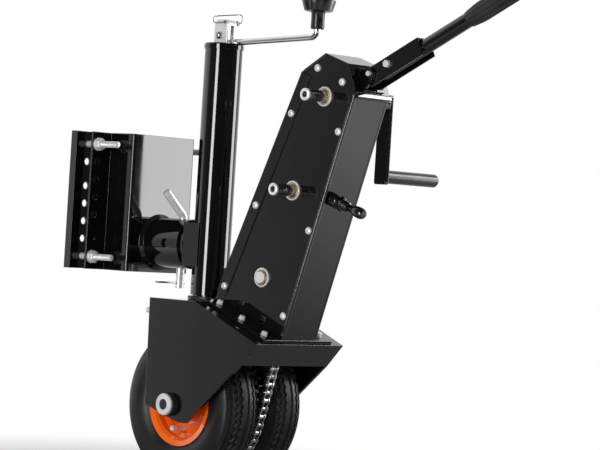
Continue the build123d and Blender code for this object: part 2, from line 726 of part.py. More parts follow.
def handle_hinge():
    """The welded block and two ears on the roof's rear face."""
    seat_top = along(ROOF_KNEE, REAR_TOP, 9.0, 2.2)
    seat_low = along(ROOF_KNEE, REAR_TOP, 40.0, 2.2)
    ears = []
    for side in (-1, 1):
        inner = side * (CHANNEL_HALF + CLEARANCE)
        outer = side * (CHANNEL_HALF + CLEARANCE + 4)
        outline = [seat_top, (HINGE_AT[0] + 2, HINGE_AT[1] + 9), (HINGE_AT[0] + 9, HINGE_AT[1] + 2),
                   (HINGE_AT[0] + 7, HINGE_AT[1] - 9), seat_low]
        ears.append(slab(outline, min(inner, outer), max(inner, outer)))
    pad = bent_sheet([along(ROOF_KNEE, REAR_TOP, 6.0, 6.2), along(ROOF_KNEE, REAR_TOP, 42.0, 6.2)],
                     4.0, -22, 22)
    body = pad + ears[0] + ears[1]
    body -= rod_y(HINGE_AT[0], HINGE_AT[1], 4.0 + RUNNING, -30, 30)
    return body


def hinge_bolt():
    """The hinge's pivot bolt, its head on the left ear and a nut on the right one."""
    x, z = HINGE_AT
    reach = CHANNEL_HALF + CLEARANCE + 4
    bolt = rod_y(x, z, 4.0, -reach - 1, reach + 9)
    head = hexagon_bar(Pos(x, -reach, z) * Rot(90, 0, 0), 13.0, 5.5)
    nut = hexagon_bar(Pos(x, reach, z) * Rot(-90, 0, 0), 13.0, 6.5)
    return bolt + head + nut


def handle_channel():
    """The handle's socket: a channel open below, with its hinge holes."""
    wall = 2.0
    top = 9.3
    low = top - CHANNEL_DEPTH
    inner_half = CHANNEL_HALF - wall
    body = block(-7, CHANNEL_LENGTH - 7, -CHANNEL_HALF, CHANNEL_HALF, low, top)
    body -= block(-20, CHANNEL_LENGTH, -inner_half, inner_half, low - 1, top - wall)
    body -= rod_y(0, 0, 4.0 + RUNNING, -30, 30)
    body -= rod_y(SOCKET_BOLT_X, -1, 4.0, -30, 30)
    return handle_place() * body


def handle_bar():
    """The tube of the handle, bolted into the channel."""
    bar = rod_x(0, BAR_Z, BAR_R, 14, GRIP_START + GRIP_LENGTH - 5)
    bar -= rod_x(0, BAR_Z, BAR_R - 2, 10, GRIP_START + GRIP_LENGTH)
    bar -= rod_y(SOCKET_BOLT_X, -1, 4.0, -30, 30)
    return handle_place() * bar


def handle_grip():
    """The ribbed rubber grip: flutes run along it between two collars."""
    length = GRIP_LENGTH
    grip = ring([(BAR_R, 0), (12.6, 0), (14.8, 7), (14.8, length - 8), (13.0, length - 2), (11.0, length),
                 (0, length), (0, length - 4), (BAR_R, length - 4)])
    for flute in range(10):
        cut = Pos(16.2, 0, length / 2) * Box(5.0, 4.0, length - 34)
        grip -= Rot(0, 0, 36 * flute) * cut
    return handle_place() * Pos(GRIP_START, 0, BAR_Z) * Rot(0, 90, 0) * grip


def socket_bolt():
    """The bolt that holds the bar in its channel."""
    x = SOCKET_BOLT_X
    bolt = rod_y(x, -1, 4.0, -CHANNEL_HALF - 1, CHANNEL_HALF + 9)
    bolt += hexagon_bar(Pos(x, -CHANNEL_HALF, -1) * Rot(90, 0, 0), 13.0, 5.5)
    bolt += hexagon_bar(Pos(x, CHANNEL_HALF, -1) * Rot(-90, 0, 0), 13.0, 6.5)
    return handle_place() * bolt


# Jack

def jack_tube():
    """The jack's outer tube."""
    tube = rod_z(0, 0, TUBE_R, TUBE_FOOT_Z, TUBE_TOP_Z)
    return tube - rod_z(0, 0, TUBE_R - TUBE_WALL, TUBE_FOOT_Z - 1, TUBE_TOP_Z + 1)


def tube_cap():
    """The pressed cap over the tube's top, with the screw's bearing hole."""
    inside = TUBE_R - TUBE_WALL
    return ring([(8.0 + RUNNING, TUBE_TOP_Z - 5), (inside, TUBE_TOP_Z - 5), (inside, TUBE_TOP_Z),
                 (TUBE_R, TUBE_TOP_Z), (TUBE_R, TUBE_TOP_Z - 3), (TUBE_R + 1.5, TUBE_TOP_Z - 3),
                 (TUBE_R + 1.5, TUBE_TOP_Z + 4), (TUBE_R, TUBE_TOP_Z + 6), (16.0, TUBE_TOP_Z + 6),
                 (16.0, TUBE_TOP_Z), (8.0 + RUNNING, TUBE_TOP_Z)])


def inner_tube():
    """The sliding tube that carries the wheel unit."""
    tube = rod_z(0, 0, INNER_TUBE_R, FRAME_TOP_Z + 5, 636)
    return tube - rod_z(0, 0, INNER_TUBE_R - TUBE_WALL, FRAME_TOP_Z + 4, 637)


def lift_screw():
    """The jack's screw, hung from the cap on its collar."""
    collar = TUBE_TOP_Z - 5 - RUNNING
    return ring([(0, 330.0), (6.5, 330.0), (8.0, 333.0), (8.0, collar - 7), (16.0, collar - 7),
                 (16.0, collar), (8.0, collar), (8.0, TUBE_TOP_Z + 6.5), (0, TUBE_TOP_Z + 6.5)])


def lift_nut():
    """The nut in the top of the sliding tube."""
    return ring([(8.0 + RUNNING, 610.0), (INNER_TUBE_R - TUBE_WALL, 610.0),
                 (INNER_TUBE_R - TUBE_WALL, 634.0), (8.0 + RUNNING, 634.0)])


def king_pin():
    """The foot of the sliding tube: a flange with the pin that the wheel unit steers on."""
    return ring([(0, 253.0), (KING_R - 1, 253.0), (KING_R, 255.0), (KING_R, FRAME_TOP_Z + CLEARANCE),
                 (32.0, FRAME_TOP_Z + CLEARANCE), (32.0, FRAME_TOP_Z + 5), (0, FRAME_TOP_Z + 5)])


def king_nut():
    """The nut under the frame's top plate that holds the wheel unit on its pin."""
    top = FRAME_TOP_Z - FRAME_PLATE - CLEARANCE
    nut = hexagon_bar(Pos(0, 0, top - 10), 28.0, 10)
    return nut - rod_z(0, 0, KING_R, 240, 280)


def crank_head():
    """The chromed head on top of the screw, with the pocket that the crank's eye folds in."""
    low = TUBE_TOP_Z + 6.5
    head = block(-14, 15, -10, 10, low, HEAD_TOP_Z)
    head = fillet(head.edges().filter_by(Axis.Y).sort_by(Axis.Z)[-2:], 9.0)
    head = fillet(head.edges().filter_by(Axis.Z), 2.0)
    head -= block(-9, 16, -3.8, 3.8, low + 1.2, HEAD_TOP_Z - 9)
    head -= rod_y(*ROD_PIVOT, 3.0, -20, 20)
    head -= rod_y(*LOCK_PIN_AT, 2.5, -20, 20)
    return head


def crank_pins():
    """The pin that the jack's crank folds on, and the loose locking pin above it."""
    pivot = rod_y(*ROD_PIVOT, 3.0, -12, 12)
    pivot += rod_y(*ROD_PIVOT, 5.5, -15.5, -10)
    pivot += rod_y(*ROD_PIVOT, 4.6, 10, 13)
    lock = rod_y(*LOCK_PIN_AT, 2.5, -12.5, 15)
    lock += rod_y(*LOCK_PIN_AT, 4.0, 13.5, 17)
    return [pivot, lock]


def crank_rod():
    """The jack's crank: a round rod from its flattened eye, turned up at the knob."""
    turn = 12.0
    x, z = ROD_START
    path = Polyline((x, 0, z), (JACK_CRANK_RADIUS, 0, ROD_END_Z), (JACK_CRANK_RADIUS, 0, ROD_END_Z + 46))
    path = fillet(path.vertices()[1:2], turn)
    rod = sweep(Plane((x, 0, z), z_dir=(JACK_CRANK_RADIUS - x, 0, ROD_END_Z - z)) * Circle(ROD_R), path=path)
    pivot_x, pivot_z = ROD_PIVOT
    eye = block(pivot_x - 7, x + 2, -3.5, 3.5, z, z + 4.5)
    eye += block(pivot_x - 7, pivot_x + 7, -3.5, 3.5, z + 4, pivot_z)
    eye += rod_y(pivot_x, pivot_z, 7.0, -3.5, 3.5)
    eye -= rod_y(pivot_x, pivot_z, 3.0 + RUNNING, -10, 10)
    return rod + eye


def crank_knob():
    """The black knob, with six scallops round its head and a long neck on the rod."""
    base = ROD_END_Z + 11
    body = ring([(ROD_R + RUNNING, base), (9.4, base), (10.2, base + 2), (10.2, base + 26), (23.5, base + 27),
                 (25.0, base + 42), (23.5, base + 44), (0, base + 44), (0, base + 37),
                 (ROD_R + RUNNING, base + 37)])
    for scallop in range(6):
        angle = radians(60 * scallop)
        body -= rod_z(30 * cos(angle), 30 * sin(angle), 9.0, base + 20, base + 50)
    return Pos(JACK_CRANK_RADIUS, 0, 0) * body


# Swivel mount

def swivel_block():
    """The block welded round the jack's tube, which carries the spigot."""
    body = block(-30, 23, -33, 33, SWIVEL_Z - 33, SWIVEL_Z + 33)
    body -= rod_z(0, 0, TUBE_R, SWIVEL_Z - 40, SWIVEL_Z + 40)
    return body


def pin_holes(body, radius):
    """Two holes through the sleeve or the spigot, one upright and one level."""
    body -= rod_z(PIN_X, 0, radius, SWIVEL_Z - 60, SWIVEL_Z + 60)
    body -= rod_y(PIN_X, SWIVEL_Z, radius, -60, 60)
    return body


def swivel_spigot():
    """The tube on the jack's block that turns inside the sleeve."""
    body = rod_x(0, SWIVEL_Z, SLEEVE_R - SLEEVE_WALL - RUNNING, CROWN_X + 1, -30)
    body -= rod_x(0, SWIVEL_Z, SLEEVE_R - 2 * SLEEVE_WALL, CROWN_X, -36)
    return pin_holes(body, PIN_R + CLEARANCE)


def swivel_sleeve():
    """The sleeve welded to the bracket's crown, with its weld collar."""
    start = CROWN_X
    body = rod_x(0, SWIVEL_Z, SLEEVE_R, start, SLEEVE_END_X)
    body += Pos(start, 0, SWIVEL_Z) * Rot(0, 90, 0) * Cone(SLEEVE_R + 5, SLEEVE_R, 5, align=STANDS_ON)
    body -= rod_x(0, SWIVEL_Z, SLEEVE_R - SLEEVE_WALL, start - 1, SLEEVE_END_X + 1)
    return pin_holes(body, PIN_R + CLEARANCE)


def locking_pin():
    """The bent pin through the sleeve and spigot: its top leans out as a handle."""
    top = SWIVEL_Z + SLEEVE_R + 4
    path = Polyline((PIN_X, 0, PIN_FOOT_Z), (PIN_X, 0, top), (PIN_X - 6, -34, top + 36))
    path = fillet(path.vertices()[1:2], 12.0)
    pin = sweep(Plane((PIN_X, 0, PIN_FOOT_Z), z_dir=(0, 0, 1)) * Circle(PIN_R), path=path)
    return pin - rod_y(PIN_X, PIN_FOOT_Z + 8, 1.6, -10, 10)


def pin_clip():
    """The hairpin clip through the pin's foot: one leg in the pin, one bowed round it."""
    z = PIN_FOOT_Z + 8
    path = Polyline((PIN_X, 12, z), (PIN_X, -42, z), (PIN_X - 10, -42, z), (PIN_X - 8.5, -14, z),
                    (PIN_X - 7.6, 8, z))
    path = fillet(path.vertices()[1:3], 4.0)
    clip = sweep(Plane((PIN_X, 12, z), z_dir=(0, -1, 0)) * Circle(1.3), path=path)
    return clip


# Trailer bracket

def hole_heights(flipped):
    steps = HOLE_STEPS[::-1] if flipped else HOLE_STEPS
    heights = [BRACKET_TOP - 19.0]
    for step in steps:
        heights.append(heights[-1] - step)
    return heights


def tongue_bracket():
    """The hat-shaped bracket: crown, two side walls and two drilled flanges."""
    reach = HOLE_Y + 11.0
    wall = CROWN_HALF
    t = BRACKET_SHEET
    front = [(FLANGE_X, reach), (FLANGE_X, wall), (CROWN_X, wall), (CROWN_X, -wall),
             (FLANGE_X, -wall), (FLANGE_X, -reach)]
    back = [(FLANGE_X - t, -reach), (FLANGE_X - t, -wall + t), (CROWN_X - t, -wall + t),
            (CROWN_X - t, wall - t), (FLANGE_X - t, wall - t), (FLANGE_X - t, reach)]
    section = make_face(Polyline(*(front + back), close=True))
    body = extrude(Plane.XY.offset(BRACKET_FOOT) * section, amount=BRACKET_TOP - BRACKET_FOOT)
    bends = body.edges().filter_by(Axis.Z)
    outer = [edge for edge in bends if (round(edge.center().X, 3), abs(round(edge.center().Y, 3))) in
             ((CROWN_X, wall), (FLANGE_X - t, wall - t))]
    body = fillet(outer, BRACKET_BEND)
    for z in hole_heights(False):
        for y in (-HOLE_Y, HOLE_Y):
            body -= rod_x(y, z, HOLE_R, FLANGE_X - t - 2, FLANGE_X + 2)
    body -= rod_x(0, SWIVEL_Z, SLEEVE_R - SLEEVE_WALL, CROWN_X - t - 2, CROWN_X + 2)
    return body


def clamp_bar(side):
    """A channel-shaped clamp bar behind one flange, its lips turned away from the flange."""
    y_low = HOLE_Y - 24
    y_high = HOLE_Y + 24
    face = FLANGE_X - CLAMP_GAP
    t = 3.5
    bar = block(face - 13, face, y_low, y_high, BRACKET_FOOT, BRACKET_TOP)
    bar -= block(face - 14, face - t, y_low + t, y_high - t, BRACKET_FOOT - 1, BRACKET_TOP + 1)
    for z in hole_heights(True):
        bar -= rod_x(HOLE_Y, z, HOLE_R, face - 10, face + 2)
    return bar if side > 0 else mirror(bar, Plane.XZ)


def clamp_bolts():
    """Four bolts from the clamp bars through the flanges, with their washers and nuts."""
    parts = []
    face = FLANGE_X - CLAMP_GAP - 3.5
    heights = hole_heights(False)
    for y in (-HOLE_Y, HOLE_Y):
        for z in (heights[0], heights[-1]):
            bolt = rod_x(y, z, 5.0, face - 1, FLANGE_X + 46)
            bolt += hexagon_bar(Pos(face, y, z) * Rot(0, -90, 0), 16.0, 6.4)
            parts.append(bolt)
    return parts


def clamp_nuts():
    """The nuts and washers of the clamp bolts."""
    parts = []
    seat = FLANGE_X
    heights = hole_heights(False)
    for y in (-HOLE_Y, HOLE_Y):
        for z in (heights[0], heights[-1]):
            nut = rod_x(y, z, 10.0, seat, seat + 2)
            nut += hexagon_bar(Pos(seat + 1.5, y, z) * Rot(0, 90, 0), 16.0, 8.5)
            parts.append(nut - rod_x(y, z, 5.0, seat - 2, seat + 20))
    return parts


# Assembly and export

def group(parts):
    return Compound(children=list(parts))


def build():
    """Every node's shape by name."""
    left, right = -1, 1
    side_left = drill_screw_holes(gearbox_side(left), left)
    side_right = drill_screw_holes(gearbox_side(right), right)
    front_cover = drill_screw_holes(drill_screw_holes(gearbox_front_cover(), left), right)
    small = pitch_radius(SMALL_TEETH, INNER_PITCH)
    large = pitch_radius(LARGE_TEETH, INNER_PITCH)
    return {
        "tongue_bracket": tongue_bracket(),
        "clamp_bar_left": clamp_bar(left),
        "clamp_bar_right": clamp_bar(right),
        "clamp_bolts": group(clamp_bolts()),
        "clamp_nuts": group(clamp_nuts()),
        "swivel_sleeve": swivel_sleeve(),
        "swivel_spigot": swivel_spigot(),
        "swivel_block": swivel_block(),
        "locking_pin": locking_pin(),
        "pin_clip": pin_clip(),
        "jack_tube": jack_tube(),
        "tube_cap": tube_cap(),
        "inner_tube": inner_tube(),
        "lift_screw": lift_screw(),
        "lift_nut": lift_nut(),
        "king_pin": king_pin(),
        "king_nut": king_nut(),
        "crank_head": crank_head(),
        "crank_pins": group(crank_pins()),
        "crank_rod": crank_rod(),
        "crank_knob": crank_knob(),
        "frame_side_left": frame_side(left),
        "frame_side_right": frame_side(right),
        "frame_top_plate": frame_top_plate(),
        "frame_bolts": group(frame_bolts()),
        "gearbox_side_left": side_left,
        "gearbox_side_right": side_right,
        "gearbox_front_cover": front_cover,
        "gearbox_roof": gearbox_roof(),
        "gearbox_rear_cover": gearbox_rear_cover(),
        "gearbox_base_flange": gearbox_base_flange(),
        "cover_screws": group(cover_screws()),
        "shaft_bushings": group(shaft_bushings()),
        "input_shaft": input_shaft(),
        "middle_shaft": middle_shaft(),
        "output_shaft": output_shaft(),
        "input_sprocket": input_sprocket(),
        "middle_sprockets": middle_sprockets(),
        "lock_collar": lock_collar(),
        "output_sprockets": output_sprockets(),
        "upper_chain": chain_band(INPUT_AT, MIDDLE_AT, small, large, STAGE_ONE_Y),
        "lower_chain": chain_band(MIDDLE_AT, OUTPUT_AT, small, large, STAGE_TWO_Y),
        "drive_chain": group(drive_chain()),
        "drive_crank_arm": crank_arm(),
        "drive_crank_grip": crank_grip(),
        "plunger_boss": plunger_boss(),
        "plunger_pin": plunger_pin(),
        "handle_hinge": handle_hinge(),
        "hinge_bolt": hinge_bolt(),
        "handle_channel": handle_channel(),
        "socket_bolt": socket_bolt(),
        "handle_bar": handle_bar(),
        "handle_grip": handle_grip(),
        "axle": axle(),
        "axle_housings": group(axle_housings()),
        "axle_rings": group(axle_rings()),
        "wheel_sprocket": wheel_sprocket(),
        "rims": group([rim(left), rim(right)]),
        "valve_stems": group([valve(left), valve(right)]),
        "tyres": group([tyre(left), tyre(right)]),
    }


os.makedirs("parts", exist_ok=True)
to_origin = Pos(-PART_ORIGIN[0], -PART_ORIGIN[1], -PART_ORIGIN[2])
nodes = build()
for name, shape in nodes.items():
    export_step(to_origin * shape, f"parts/{name}.step")
print(len(nodes), "nodes; drive centre distance", round(DRIVE_C, 2), "output shaft at", OUTPUT_AT)
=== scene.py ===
from math import atan2, asin, cos, hypot, pi, radians, sin, sqrt, tan

import bmesh
import bpy
from mathutils import Matrix, Vector


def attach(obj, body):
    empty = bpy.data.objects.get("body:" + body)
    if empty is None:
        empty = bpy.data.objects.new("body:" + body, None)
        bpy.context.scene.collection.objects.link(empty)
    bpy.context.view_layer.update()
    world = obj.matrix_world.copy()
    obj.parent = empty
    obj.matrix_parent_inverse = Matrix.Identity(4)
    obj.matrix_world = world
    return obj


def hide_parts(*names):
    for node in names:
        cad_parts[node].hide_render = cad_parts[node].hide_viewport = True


# Trailer dolly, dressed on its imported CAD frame. Sizes are in millimetres, drawn with the jack's
# axis at x = y = 0 and the ground at z = 0, and moved to the frame's origin as pieces are made.
PART_ORIGIN = Vector((-172.0, 0.0, 412.0))
MM = 0.001

# Sizes shared with the CAD source
AXLE = (25.0, 117.0)
TYRE_R = 117.0
TYRE_HALF = 34.5
WHEEL_Y = 46.0
CHAIN_PITCH = 12.7
ROLLER_R = 3.96
WHEEL_TEETH = 48
OUTPUT_TEETH = 17
CHAIN_LINKS = 70
DRIVE_LEAN = 31.4
BOX_HALF = 36.4
COVER_SHEET = 1.5
INPUT_AT = (246.7, 578.7)
MIDDLE_AT = (195.2, 441.8)
FRONT_TOP = (201.8, 614.8)
FRONT_LEAN = 24.0
FRONT_FOOT_Z = 276.0
ROOF_PEAK = (243.6, 639.2)
ROOF_KNEE = (286.9, 624.8)
REAR_TOP = (305.3, 583.1)
REAR_LEAN = 17.7
FRAME_CREST = (66.0, 272.0)
FRAME_KNEE = (195.0, 218.0)
FOOT_SHEET = 4.0
FOOT_BOLT_Y = 58.0
LIP_BOLT = (-31.0, 76.0, 252.0)
SHAFT_R = 8.5
STUB_LENGTH = 42.0
PLUNGER_ROOT = (258.5, -20.0, 432.0)
ROD_END = (190.0, 668.6)
ROD_PIVOT = (-1.0, 671.5)
LOCK_PIN_AT = (9.5, 691.5)
TUBE_R = 28.5
SWIVEL_Z = 354.0
PIN_X = -65.0
PIN_FOOT_Z = 286.0
FLANGE_X = -168.0
BRACKET_TOP = 517.0
HOLE_Y = 91.0
TOP_HOLE_DROP = 19.0
HOLE_RUN = 172.0
CLAMP_GAP = 22.0
BAR_SHEET = 3.5
HINGE_AT = (312.0, 613.5)
HANDLE_TILT = 26.3
BAR_R = 11.0
BAR_Z = -3.8
CHANNEL_HALF = 14.0
HINGE_EAR = 4.4
SOCKET_BOLT = (34.0, -1.0)
GRIP_START = 183.0

# The photograph's camera, fitted on the jack tube, the gearbox and the bracket's holes
CAMERA_AZIMUTH = 43.17
CAMERA_ELEVATION = -0.24
CAMERA_ROLL = 3.51
CAMERA_DISTANCE = 3896.0
CAMERA_ASIDE = 130.8
CAMERA_HEIGHT = 393.4
FOCAL_PIXELS = 2579.4
PHOTO_WIDTH = 600
SENSOR = 36.0


def to_frame(x, y, z):
    """A point of the drawing, in the frame's metres."""
    return (Vector((x, y, z)) - PART_ORIGIN) * MM


# Materials

class Nodes:
    """A material's node tree, with short ways to add and join its nodes."""

    def __init__(self, name):
        self.material = bpy.data.materials.new(name)
        self.material.use_nodes = True
        self.tree = self.material.node_tree
        self.shader = self.tree.nodes["Principled BSDF"]

    def add(self, kind, **inputs):
        node = self.tree.nodes.new("ShaderNode" + kind)
        for key, value in inputs.items():
            node.inputs[key.replace("_", " ")].default_value = value
        return node

    def join(self, source, output, target, entry):
        self.tree.links.new(source.outputs[output], target.inputs[entry])

    def set(self, **values):
        for key, value in values.items():
            self.shader.inputs[key.replace("_", " ")].default_value = value

    def place(self, stretch=(1, 1, 1)):
        coordinates = self.add("TexCoord")
        mapping = self.add("Mapping", Scale=stretch)
        self.join(coordinates, "Object", mapping, "Vector")
        return mapping

    def noise(self, scale, detail=3.0, stretch=(1, 1, 1)):
        noise = self.add("TexNoise", Scale=scale, Detail=detail)
        self.join(self.place(stretch), "Vector", noise, "Vector")
        return noise

    def spread(self, source, output, low, high):
        """Maps the middle of a noise's range to low and high."""
        spread = self.add("MapRange", From_Min=0.3, From_Max=0.7, To_Min=low, To_Max=high)
        self.join(source, output, spread, "Value")
        return spread

    def colours(self, source, output, low, high):
        """Varies the base colour between two colours by a noise."""
        ramp = self.add("ValToRGB")
        ramp.color_ramp.elements[0].position = 0.32
        ramp.color_ramp.elements[0].color = (*low, 1)
        ramp.color_ramp.elements[1].position = 0.68
        ramp.color_ramp.elements[1].color = (*high, 1)
        self.join(source, output, ramp, "Fac")
        self.join(ramp, "Color", self.shader, "Base Color")
        return ramp

    def relief(self, heights, edge=0.0):
        """Bumps from (source, output, depth in mm) triples, over softened edges."""
        before = None
        if edge:
            before = self.add("Bevel", Radius=edge * MM)
            before.samples = 4
        for source, output, depth in heights:
            bump = self.add("Bump", Strength=1.0, Distance=depth * MM)
            self.join(source, output, bump, "Height")
            if before:
                self.join(before, "Normal", bump, "Normal")
            before = bump
        if before:
            self.join(before, "Normal", self.shader, "Normal")


def black_paint():
    """Gloss black enamel: orange peel, a slow change of gloss and faint dust."""
    paint = Nodes("black_paint")
    blotch = paint.noise(14.0, 4.0)
    paint.colours(blotch, "Fac", (0.0022, 0.0022, 0.0025), (0.004, 0.004, 0.0045))
    gloss = paint.spread(blotch, "Fac", 0.018, 0.032)
    paint.join(gloss, "Result", paint.shader, "Roughness")
    peel = paint.noise(420.0, 2.0)
    swell = paint.noise(14.0, 1.0)
    paint.relief([(swell, "Fac", 0.03), (peel, "Fac", 0.0008)], edge=1.4)
    paint.set(Specular_IOR_Level=0.85)
    return paint.material


def orange_paint():
    """Gloss orange enamel on the pressed rims."""
    paint = Nodes("orange_paint")
    blotch = paint.noise(30.0, 3.0)
    paint.colours(blotch, "Fac", (0.95, 0.125, 0.008), (1.0, 0.165, 0.014))
    gloss = paint.spread(blotch, "Fac", 0.06, 0.12)
    paint.join(gloss, "Result", paint.shader, "Roughness")
    peel = paint.noise(380.0, 2.0)
    paint.relief([(peel, "Fac", 0.015)], edge=0.6)
    paint.set(Coat_Weight=0.8, Coat_Roughness=0.04)
    return paint.material


def metal(name, low, high, gloss_low, gloss_high, grain, grain_depth, stretch=(1, 1, 1),
          metallic=1.0):
    """A bare or plated metal: clouded colour and gloss, and a grain along one direction."""
    steel = Nodes(name)
    cloud = steel.noise(60.0, 4.0)
    steel.colours(cloud, "Fac", low, high)
    gloss = steel.spread(cloud, "Fac", gloss_low, gloss_high)
    steel.join(gloss, "Result", steel.shader, "Roughness")
    lines = steel.noise(grain, 3.0, stretch)
    steel.relief([(lines, "Fac", grain_depth)], edge=0.4)
    steel.set(Metallic=metallic)
    return steel.material


def black_plastic():
    """Moulded plastic with a fine spark-eroded grain."""
    plastic = Nodes("black_plastic")
    cloud = plastic.noise(40.0, 3.0)
    plastic.colours(cloud, "Fac", (0.005, 0.005, 0.0055), (0.010, 0.010, 0.011))
    gloss = plastic.spread(cloud, "Fac", 0.22, 0.32)
    plastic.join(gloss, "Result", plastic.shader, "Roughness")
    grain = plastic.noise(900.0, 2.0)
    plastic.relief([(grain, "Fac", 0.03)], edge=0.6)
    return plastic.material


def dark_steel():
    """Black-oxide steel with a soft hammered texture."""
    steel = Nodes("dark_steel")
    cloud = steel.noise(90.0, 4.0)
    steel.colours(cloud, "Fac", (0.008, 0.008, 0.009), (0.022, 0.022, 0.024))
    gloss = steel.spread(cloud, "Fac", 0.32, 0.5)
    steel.join(gloss, "Result", steel.shader, "Roughness")
    texture = steel.noise(500.0, 3.0)
    steel.relief([(texture, "Fac", 0.05)], edge=0.7)
    return steel.material


def rubber(name, low, high, gloss_low, gloss_high, depth):
    """Moulded rubber: bluish black with a matt bloom and a fine skin."""
    skin = Nodes(name)
    bloom = skin.noise(22.0, 5.0)
    skin.colours(bloom, "Fac", low, high)
    gloss = skin.spread(bloom, "Fac", gloss_low, gloss_high)
    skin.join(gloss, "Result", skin.shader, "Roughness")
    grain = skin.noise(650.0, 3.0)
    swell = skin.noise(70.0, 2.0)
    skin.relief([(swell, "Fac", 0.25), (grain, "Fac", depth)])
    skin.set(Specular_IOR_Level=0.4)
    return skin.material


def make_materials():
    turned = (1, 0.04, 1)
    return {
        "black_paint": black_paint(),
        "orange_paint": orange_paint(),
        "zinc": metal("zinc", (0.74, 0.75, 0.76), (0.86, 0.86, 0.84), 0.30, 0.44, 300, 0.02,
                      metallic=0.5),
        "chrome": metal("chrome", (0.72, 0.73, 0.75), (0.80, 0.80, 0.82), 0.04, 0.10, 500, 0.004),
        "spring_steel": metal("spring_steel", (0.40, 0.40, 0.40), (0.55, 0.55, 0.55), 0.2, 0.35, 400,
                              0.01),
        "machined_steel": metal("machined_steel", (0.45, 0.45, 0.45), (0.58, 0.58, 0.57), 0.2, 0.36,
                                900, 0.012, turned),
        "chain_steel": metal("chain_steel", (0.50, 0.49, 0.47), (0.78, 0.77, 0.75), 0.22, 0.38, 500,
                             0.02),
        "dark_steel": dark_steel(),
        "brass": metal("brass", (0.50, 0.37, 0.20), (0.64, 0.50, 0.30), 0.24, 0.4, 700, 0.015, turned),
        "black_plastic": black_plastic(),
        "grip_rubber": rubber("grip_rubber", (0.012, 0.012, 0.012), (0.02, 0.02, 0.021), 0.36, 0.5,
                              0.03),
        "tyre_rubber": rubber("tyre_rubber", (0.004, 0.004, 0.005), (0.010, 0.0098, 0.012), 0.36, 0.5,
                              0.06),
    }


# Mesh building

TIP_R = 0.3


def turns(steps):
    """Evenly spaced angles, once round."""
    return [2 * pi * step / steps for step in range(steps)]


def ring_point(radius, angle, height):
    """A point of a ring about Z."""
    return Vector((radius * cos(angle), radius * sin(angle), height))


def mesh_piece(name, form, material, body, replaced=(), smooth=40.0):
    """A piece from a Form in the drawing's millimetres, riding on a body."""
    mesh = bpy.data.meshes.new(name)
    mesh.from_pydata([to_frame(*point) for point in form.points], [], form.faces)
    build = bmesh.new()
    build.from_mesh(mesh)
    bmesh.ops.remove_doubles(build, verts=build.verts, dist=0.00001)
    bmesh.ops.recalc_face_normals(build, faces=build.faces)
    build.to_mesh(mesh)
    build.free()
    piece = bpy.data.objects.new(name, mesh)
    bpy.context.scene.collection.objects.link(piece)
    mesh.materials.append(MATERIALS[material])
    mesh.shade_smooth()
    mesh.set_sharp_from_angle(angle=radians(smooth))
    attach(piece, body)
    if replaced:
        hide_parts(*replaced)


class Form:
    """Points and faces of one or more solids, drawn in a local frame."""

    def __init__(self, points=(), faces=()):
        self.points = [Vector(point) for point in points]
        self.faces = [tuple(face) for face in faces]

    def join(self, other):
        base = len(self.points)
        self.points += other.points
        self.faces += [tuple(base + index for index in face) for face in other.faces]
        return self

    def moved(self, matrix):
        return Form([matrix @ point for point in self.points], self.faces)


def loft(rings, closed=False):
    """Joins rings of points; the first and last are capped unless the loft closes on itself."""
    count = len(rings[0])
    points = [point for ring in rings for point in ring]
    faces = []
    last = len(rings) if closed else len(rings) - 1
    for row in range(last):
        near = row * count
        far = (row + 1) % len(rings) * count
        for index in range(count):
            after = (index + 1) % count
            faces.append((near + index, near + after, far + after, far + index))
    if not closed:
        faces.append(tuple(range(count))[::-1])
        faces.append(tuple(range((len(rings) - 1) * count, len(rings) * count)))
    return Form(points, faces)


def lathe(profile, steps=32, closed=False):
    """A solid of revolution about Z from (radius, height) points; a full end closes on TIP_R."""
    rings = []
    for radius, height in profile:
        rings.append([ring_point(radius, angle, height) for angle in turns(steps)])
    return loft(rings, closed)


def hexagon(across_flats, low, high, chamfer=0.9):
    """A hexagon head or nut along Z whose corners are turned down at its outer face."""
    half = across_flats / 2
    face = half - 0.3
    rings = []
    for height in (low, high - chamfer, high):
        ring = []
        for angle in turns(36):
            flat = half / cos((angle + pi / 6) % (pi / 3) - pi / 6)
            reach = min(flat, face) if height == high else flat
            ring.append(ring_point(reach, angle, height))
        rings.append(ring)
    return loft(rings)


def thread(radius, low, high, pitch=1.5, depth=0.75, steps=20):
    """A threaded rod along Z: a helix of V grooves, with a turned-down tip at its high end."""
    rings = []
    rows = max(2, round((high - low) / pitch * 4))
    for row in range(rows + 1):
        height = low + (high - low) * row / rows
        ring = []
        for step in range(steps):
            phase = (height / pitch - step / steps) % 1.0
            reach = radius - depth * abs(2 * phase - 1)
            ring.append(ring_point(reach, 2 * pi * step / steps, height))
        rings.append(ring)
    tip = [point * 0.8 + Vector((0, 0, point.z * 0.2 + 0.8)) for point in rings[-1]]
    return loft(rings + [tip])


def wire(path, radius, steps=10):
    """A round wire through points, its corners rounded by a smooth curve."""
    points = smooth_path(path)
    rings = []
    side = None
    for index, point in enumerate(points):
        after = points[min(index + 1, len(points) - 1)]
        before = points[max(index - 1, 0)]
        along_wire = (after - before).normalized()
        if side is None:
            side = along_wire.orthogonal().normalized()
        side = (side - along_wire * side.dot(along_wire)).normalized()
        other = along_wire.cross(side)
        rings.append([point + radius * (side * cos(turn) + other * sin(turn)) for turn in turns(steps)])
    return loft(rings)


